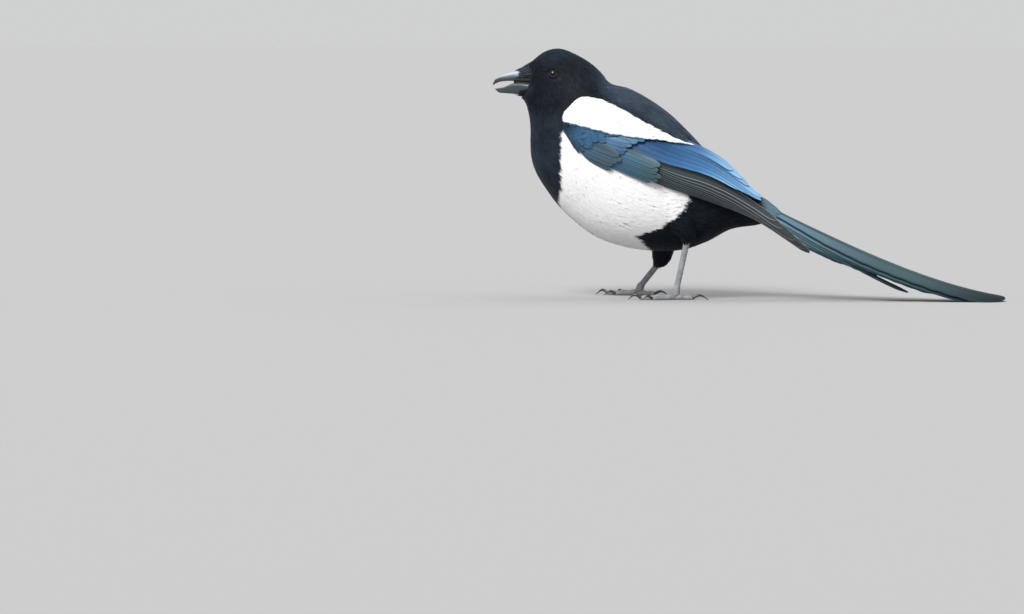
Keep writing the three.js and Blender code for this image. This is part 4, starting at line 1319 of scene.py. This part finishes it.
def cover_shoulder(name, own, sheet, draw, crowd, marks, material, above):
    """Feathers of the shoulder. Towards the bend they lie lower near the wing's upper edge."""
    u, v = scatter(sheet, -0.005, 0.62, crowd, draw, (-0.25, 0.6))
    length = draw.uniform(6.0, 8.0, len(u)) * np.interp(u, [0, 0.05, 0.15], [0.55, 0.75, 1])
    half = draw.uniform(0.65, 0.95, len(u)) * np.interp(u, [0, 0.05, 0.15], [0.6, 0.8, 1])
    at = [0, 0.08, 0.3, 0.56]
    low = np.interp(u, at, [0.1, 0.9, 1.6, 1.2])
    high = np.interp(u, at, [1.1, 1.9, 2.9, 3.1]) + draw.normal(0, 0.03, len(u))
    settled = mix(smooth(-0.12, 0.14, v), 1, smooth(0.2, 0.35, u))
    levels = (-(low * settled), mix(0.5, high, settled) + above)
    tufts(name, own, sheet, (u, v), (length, half), levels, material, draw, marks, WING_LEAN)


def make_wing(name, side):
    sheet = wing_sheets[name]
    draw = draws("wings", side)
    own = "wing_" + name
    rings, whiteness = wing_arm(sheet)
    ring_piece(own + "_arm", own, rings, ARM, (own,), {"white": whiteness}, flip=side == RIGHT)
    for tier, shape in WING_TIERS.items():
        rows, material = TIER_LOOKS[tier]
        feathers(f"{own}_{tier}", own, wing_places(sheet, draw, **shape), rows, material, draw)
    cover_arm(own, sheet, draw)
    cover_shoulder(own + "_shoulder", own, sheet, draw, shoulder_crowd, shoulder_marks, SHOULDER, 0.0)
    cover_shoulder(own + "_scapulars", own, sheet, draw, scapular_crowd, scapular_marks, PLUMAGE, 0.25)


for name, side in SIDES.items():
    make_wing(name, side)


# The tail
def tail_places():
    """The tail's twelve feathers, from the shortest outer pair in to the longest on top."""
    places = []
    for pair in range(TAIL_PAIRS - 1, -1, -1):
        for side in (RIGHT, LEFT):
            length = tail_line.length - pair * TAIL_SHORTER
            centre = side * mix(9, 12.2, pair / (TAIL_PAIRS - 1))
            inner = abs(centre) - 0.3
            outer = 9.2
            level = -TAIL_LAYER * (pair + 1)
            sag = 0.0
            if pair == 0:
                centre = side * 1.2
                inner = 15
                outer = 15.5
                level = 0.0 if side == LEFT else -TAIL_LAYER
            elif pair == WORN_PAIR and side == LEFT:
                sag = WORN_SAG
                centre = side * WORN_ASIDE
                inner = WORN_HALF
                outer = WORN_HALF

            webs = (outer, inner)

            def place(t, a, side=side, length=length, centre=centre, webs=webs, level=level, sag=sag):
                p, across, up = tail_line.at(t * length)
                spread = mix(0.62, 1, np.minimum(1, t * 2.2))
                web = np.where(a * side > 0, *webs)
                y = (centre + a * web * vane_width(t, 14 / length, 0.2)) * spread
                height = level - TAIL_DROOP * y * y + 0.35 * (1 - a * a) - sag * smooth(0.5, 1.05, t)
                return p + across * y[..., None] + up * height[..., None], up

            places.append((place, length, 12.0, side))
    return places


def tail_covert_crowd(s, turn, _p):
    last = mix(0.8, 3.3, smooth(0.2, 0.7, -np.cos(turn)))
    return np.where(s < last, 5.0 / (TUFT_AREA * 9 * 1.0), 0.0)


def tail_covert_marks(_s, turn, p):
    """Teal above, from the end of the back on, and black below."""
    return smooth(77, 82, p[..., 0]) * smooth(-0.1, 0.3, np.cos(turn))


def make_tail_root():
    """The coverts round the root of the tail, and the root itself under them."""
    draw = draws("tail_coverts")
    s, turn = scatter(tail_root, -0.4, 3.4, tail_covert_crowd, draw)
    length = draw.uniform(8, 11, len(s)) * mix(0.75, 1.1, smooth(0.0, 0.7, -np.cos(turn)))
    sizes = (length, draw.uniform(0.8, 1.2, len(s)))
    levels = (np.full(len(s), COAT_DEPTH), draw.normal(0.1, 0.08, len(s)))
    tufts("tail_coverts", "tail", tail_root, (s, turn), sizes, levels, TAIL_SMALL, draw, tail_covert_marks)
    count = 24
    around = 32
    rings = tail_root.rings(0, 3.6, count, around, lift=-0.8)
    above = np.tile(np.cos(full_turn(around)) > 0, count)
    ring_piece("tail_root", "tail", rings, TAIL_SMALL, values={"white": np.append(above, [1, 0])})


feathers("tail_vanes", "tail", tail_places(), 60, TAIL_TEAL, draws("tail"), 0.4, ("tail",))
make_tail_root()


# Bill, bristles and eyes
MOUTH_HEIGHT = 163.5
GAPE_AROUND = 32


def make_bill(name, slices, horn):
    bill = Loft(slices)
    rings = bill.rings(0, bill.last, count=90, around=56, lift=0.0)
    ring_piece(name + "_horn", name, rings, horn, (name,))


def make_gape():
    """The lining that joins the two halves of the bill at their corners: mouth skin, kept near black as
    painted shade of the mouth's inside.
    """
    turn = full_turn(GAPE_AROUND)
    aside = np.sign(np.cos(turn)) * np.abs(np.cos(turn)) ** 0.4
    upward = np.sign(np.sin(turn)) * np.abs(np.sin(turn)) ** 0.4
    rings = []
    for share in np.sin(np.linspace(0, math.pi / 2, 40)):
        x = mix(-98.0, -113.6, share)
        half = np.interp(x, [-113.6, -109.6, -106, -98], [2.6, 3.4, 3.9, 5.0])
        blunt = math.sqrt(max(0.004, 1 - (max(0, share - 0.8) / 0.2) ** 2))
        places = [np.full(GAPE_AROUND, x), half * blunt * aside, MOUTH_HEIGHT + 1.2 * upward]
        rings.append(np.stack(places, -1))
    ring_piece("gape", "head", rings, MOUTH_SKIN_AND_SHADE)


def bristle(start, end, out, bow, half):
    """One narrow feather from start to end, bowed out a little, as a row of places for feathers()."""

    def place(t, a):
        line = end - start
        across = unit(np.cross(line, out))
        p = start + line * t[..., None]
        p = p + out * (bow * np.sin(np.pi * t) + 0.2)[..., None]
        return p + across * (a * half * (1 - 0.75 * t**2))[..., None], np.broadcast_to(out, p.shape)

    return place, float(np.linalg.norm(end - start)), half, 1.0


def make_chin():
    """Short feathers of the chin that lie forward along the lower bill."""
    draw = draws("chin")
    places = []
    for _ in range(150):
        turn = draw.uniform(-1.25, 1.25)
        back = draw.uniform(0, 1)
        start_x = mix(-103.5, -99.0, back)
        reach = mix(9.0, 5.5, abs(turn) / 1.25) * draw.uniform(0.75, 1.05)
        around = np.array([0.0, math.sin(turn), -math.cos(turn)])
        start = np.array([start_x, 0, 159.2]) + around * np.array([0, 5.9, 5.6])
        end_x = start_x - reach + 3.0 * back
        thin = np.interp(end_x, [-118, -112, -103], [3.3, 4.6, 6.6])
        end = np.array([end_x, 0, 159.0]) + around * np.array([0, thin, 5.0])
        places.append(bristle(start, end, around, 0.5, 0.5))
    feathers("chin", "head", places, 6, PLUMAGE, draw, 0.25)


def make_bristles():
    """The fine bristles that lie forward from the face over the root of the bill."""
    draw = draws("bristles")
    places = []
    for side in SIDES.values():
        for _ in range(84):
            share = draw.uniform(0, 1)
            back = draw.uniform(0.05, 1.3)
            turn = -side * mix(-0.12, 1.42, share)
            start = body.at(np.array(back), np.array(turn), -1.6)
            end_x = -114.2 + 3.0 * share + 3.2 * back * 0.8
            end = np.array([end_x, side * mix(-0.7, 5.6, share), mix(171.9, 166.4, share)])
            end = end + draw.normal(0, 0.35, 3)
            out = unit(np.array([-0.1, side * mix(0.15, 1, share), mix(1, 0.3, share)]))
            places.append(bristle(start, end, out, draw.uniform(0.5, 1.0), 0.34))
    # The hundredth of white is a faint painted sheen that greys the bristles.
    feathers("bristles", "head", places, 6, PLUMAGE, draw, 0.25, marks=0.01)


def lid_fold(centre, out, fore, up):
    """The lids: a thin fold of bare skin that hugs the ball, drawn out a little into its two corners."""
    folds = []
    for turn in full_turn(LID_STEPS):
        corner = math.exp(-((math.sin(turn) / 0.32) ** 2))
        wide = LID_OPENING + 0.25 * math.cos(turn) ** 2 + 0.35 * corner
        on_ball = math.sqrt(EYE_BALL**2 - wide**2)
        radial = fore * math.cos(turn) + up * math.sin(turn)
        middle = centre + out * (on_ball + 0.04) + radial * (wide + 0.16)
        ripple = 1 + 0.08 * math.sin(turn * 31) + 0.06 * math.sin(turn * 13 + 1)
        ring = []
        for k in full_turn(LID_AROUND):
            across = 0.42 * math.cos(k) * (1 - 0.3 * corner)
            ring.append(middle + radial * across + out * 0.26 * ripple * math.sin(k))
        folds.append(ring)
    j = np.arange(LID_AROUND)
    k = (j + 1) % LID_AROUND
    last = (LID_STEPS - 1) * LID_AROUND
    closing = np.stack([last + j, last + k, k, j], -1)
    return np.array(folds).reshape(-1, 3), np.vstack([ring_faces(LID_STEPS, LID_AROUND), closing])


def make_eye(name, side):
    centre, out = eye_place(side, -EYE_SUNK)
    up = unit(UPWARD - out * out[2])
    fore = np.cross(up, out)
    turn = full_turn(40)
    circle = fore * np.cos(turn)[:, None] + up * np.sin(turn)[:, None]
    rings = []
    outward = []
    for polar in np.linspace(0.02, math.pi - 0.02, 30):
        rings.append(centre + EYE_BALL * (out * math.cos(polar) + circle * math.sin(polar)))
        outward += [math.sin(polar) if polar < math.pi / 2 else 1.0] * len(turn)
    eye = "eye_" + name
    ring_piece("eyeball_" + name, eye, rings, EYE, (eye,), {"from_middle": outward + [0.0, 1.0]})
    make_piece("lids_" + name, "head", *lid_fold(centre, out, fore, up), LID)


make_bill("upper_bill", UPPER_BILL, UPPER_HORN)
make_bill("lower_bill", LOWER_BILL, LOWER_HORN)
make_gape()
make_chin()
make_bristles()
for name, side in SIDES.items():
    make_eye(name, side)


# Legs
def shank_line(name, side):
    """The shank's upper end, sunk a little into the thigh, its joint with the toes, and its way down."""
    leg = LEGS[name]
    sided = np.array([1, side, 1])
    top = np.array(leg["thigh"][-1][:3], float) * sided
    joint = np.array(leg["toe_joint"], float) * sided
    along = unit(joint - top)
    return top - 1.2 * along, joint, along


def make_shank(name, side):
    start, joint, along = shank_line(name, side)
    fore = unit(np.cross(RIGHTWARD, along))
    across = np.cross(along, fore)
    length = np.linalg.norm(joint - start)
    turn = full_turn(28)
    front = np.clip(-np.cos(turn), 0, 1) ** 0.7
    creases = 0.06 * np.abs(np.sin(turn * 2))
    rings = []
    for share in np.linspace(0, 1, 180):
        knob = np.exp(-((share / 0.09) ** 2)) + 0.9 * np.exp(-(((share - 1) / 0.07) ** 2))
        step = (length * share / SCUTE_PITCH % 1.0) ** 3
        relief = 0.26 * (1 - step) * front + creases * (0.5 + 0.5 * np.sin(share * 60))
        wide_fore = ((SHANK_FORE - 0.12 + 0.6 * knob + relief) * np.cos(turn))[:, None]
        wide_across = ((SHANK_ACROSS - 0.08 + 0.8 * knob + relief) * np.sin(turn))[:, None]
        rings.append(start + (joint - start) * share + fore * wide_fore + across * wide_across)
    ring_piece("scutes_" + name, "shank", rings, SCALES, ("shank_" + name,))


def digit_ring(start, ahead, far, aside, height):
    """A ring of points at a distance along a toe, from how far aside and how high each lies."""
    sideways = np.array([-ahead[1], ahead[0], 0.0])
    return start * ON_FLOOR + ahead * far + sideways * aside[:, None] + UPWARD * height[:, None]


def toe_rings(ahead, start, length, half, height):
    """A toe on the ground: soft pads below and plates above."""
    pads = max(2, round(length / 8))
    turn = full_turn(24)
    rings = []
    for share in np.linspace(0, 1, 90):
        pad = 1 + 0.1 * math.sin(2 * math.pi * (share * pads - 0.25))
        slim = mix(1, TOE_TIP, share) * pad * (1 - 0.55 * smooth(0.93, 1.0, share))
        z = height * slim * (1 + np.sin(turn)) / 2
        plates = 0.2 * (1 - ((share * length / TOE_PLATE_PITCH) % 1.0) ** 3) * np.clip(np.sin(turn), 0, 1)
        flat = 0.1 * height * slim
        up = np.maximum(z, flat) - flat + plates
        rings.append(digit_ring(start, ahead, share * length, half * slim * np.cos(turn), up))
    return rings


def claw_rings(ahead, start, length, half, height, claw):
    """A claw that leaves the toe's end in a low arch and comes down to a point."""
    tip_height = height * TOE_TIP * 0.9
    turn = full_turn(18)
    rings = []
    for share in np.linspace(-0.12, 1, 30):
        up = max(0.0, share)
        arch = 0.95 * tip_height * math.sin(math.pi * min(1, up * 1.15)) * (1 - up * 0.3)
        slim = (1 - up) ** 0.8 + 0.08
        z = 0.25 + arch + tip_height * slim * (1 + np.sin(turn)) / 2 * 0.9
        rings.append(digit_ring(start, ahead, length + share * claw, half * 0.5 * slim * np.cos(turn), z))
    return rings


def make_foot(name, side):
    _, joint, along = shank_line(name, side)
    start = joint * ON_FLOOR + along * ON_FLOOR * 2
    for digit, (turn, length, height, half, claw) in TOES.items():
        angle = math.radians(180 - side * LEGS[name]["heading"] - side * turn)
        ahead = np.array([math.cos(angle), math.sin(angle), 0.0])
        own = f"{name}_{digit}"
        stands_for = ("foot_" + name,) if digit == "middle" else ()
        ring_piece("toe_" + own, "foot", toe_rings(ahead, start, length, half, height), SCALES, stands_for)
        rings = claw_rings(ahead, start, length, half, height, claw)
        ring_piece("nail_" + own, "claw", rings, CLAW_HORN, ("claw_" + own,))
    knuckle = Limb([
        (*(joint - along * 1.0), SHANK_KNOB, SHANK_ACROSS + 0.8),
        (start[0], start[1], 3.8, 3.0, 2.7),
        (start[0], start[1], 2.2, 1.6, 1.6),
    ])
    rings = knuckle.rings(0, knuckle.last, count=20, around=28, lift=0.0)
    ring_piece("knuckle_" + name, "foot", rings, SCALES)


for name, side in SIDES.items():
    make_shank(name, side)
    make_foot(name, side)


# Floor, light and camera
FLOOR_HALF = 60  # in metres
# Each lamp: the way that its light comes from, how far it spreads in degrees, its power and its colour
LAMPS = {
    "Key": ((-0.4, -1.2, 1.3), 28, 4.0, (1.0, 0.99, 0.975)),
    "Over": ((0.5, 0.5, 1.6), 70, 1.25, (0.97, 0.985, 1.0)),
}
SKY_COLOUR = (0.985, 0.99, 1.0)
SKY_STRENGTH = 0.64
FLOOR_COLOUR = (0.312, 0.312, 0.313)
# The camera's turn to the front of the bird's side and its height in degrees, its distance, the size of one
# pixel at the bird, both in millimetres, the picture's width, and the pixels on which the picture's middle
# and the design's origin lie
CAMERA_ROUND = 12
CAMERA_ABOVE = 3
CAMERA_AWAY = 4000.0
PIXEL = 0.76
PICTURE_WIDTH = 1024
MIDDLE_PIXEL = (512, 307)
ORIGIN_PIXEL = (660, 298)
SENSOR_WIDTH = 36.0


def make_floor():
    places = [(x * FLOOR_HALF, y * FLOOR_HALF, 0) for x, y in ((-1, -1), (1, -1), (1, 1), (-1, 1))]
    floor = add_mesh("floor", places, [(0, 1, 2, 3)])
    material, tree, shader = new_material("Pale_floor")
    feed_all(tree, shader, {"Base Color": FLOOR_COLOUR, "Roughness": 0.85})
    floor.data.materials.append(material)


def make_light():
    """An even pale sky, a soft key from the near side and a wide light from above."""
    world = bpy.data.worlds.new("Studio")
    scene.world = world
    world.use_nodes = True
    sky = world.node_tree.nodes["Background"]
    feed_all(world.node_tree, sky, {"Color": SKY_COLOUR, "Strength": SKY_STRENGTH})
    for label, (way, spread, power, colour) in LAMPS.items():
        lamp = bpy.data.lights.new(label, "SUN")
        lamp.energy = power
        lamp.angle = math.radians(spread)
        lamp.color = colour
        light = bpy.data.objects.new(label, lamp)
        light.location = way
        light.rotation_euler = (-Vector(way)).to_track_quat("-Z", "Y").to_euler()
        light.visible_glossy = label == "Key"
        scene.collection.objects.link(light)
    scene.view_settings.view_transform = "Standard"
    scene.view_settings.look = "None"


def make_camera():
    """The photograph's view: a long lens from the bird's left, a little from the front of its side."""
    azimuth = math.radians(CAMERA_ROUND)
    elevation = math.radians(CAMERA_ABOVE)
    right = np.array([math.cos(azimuth), math.sin(azimuth), 0])
    level = math.cos(elevation)
    back = np.array([math.sin(azimuth) * level, -math.cos(azimuth) * level, math.sin(elevation)])
    up = np.cross(back, right)
    across = right * (MIDDLE_PIXEL[0] - ORIGIN_PIXEL[0]) * PIXEL
    middle = across + up * (ORIGIN_PIXEL[1] - MIDDLE_PIXEL[1]) * PIXEL
    data = bpy.data.cameras.new("Camera")
    data.sensor_width = SENSOR_WIDTH
    data.lens = SENSOR_WIDTH * CAMERA_AWAY / (PICTURE_WIDTH * PIXEL)
    data.clip_start = 0.05
    data.clip_end = 200
    camera = bpy.data.objects.new("Camera", data)
    camera.location = Vector(in_scene(middle + back * CAMERA_AWAY))
    camera.rotation_mode = "QUATERNION"
    camera.rotation_quaternion = Vector(back).to_track_quat("Z", "Y")
    scene.collection.objects.link(camera)
    scene.camera = camera


make_floor()
make_light()
make_camera()
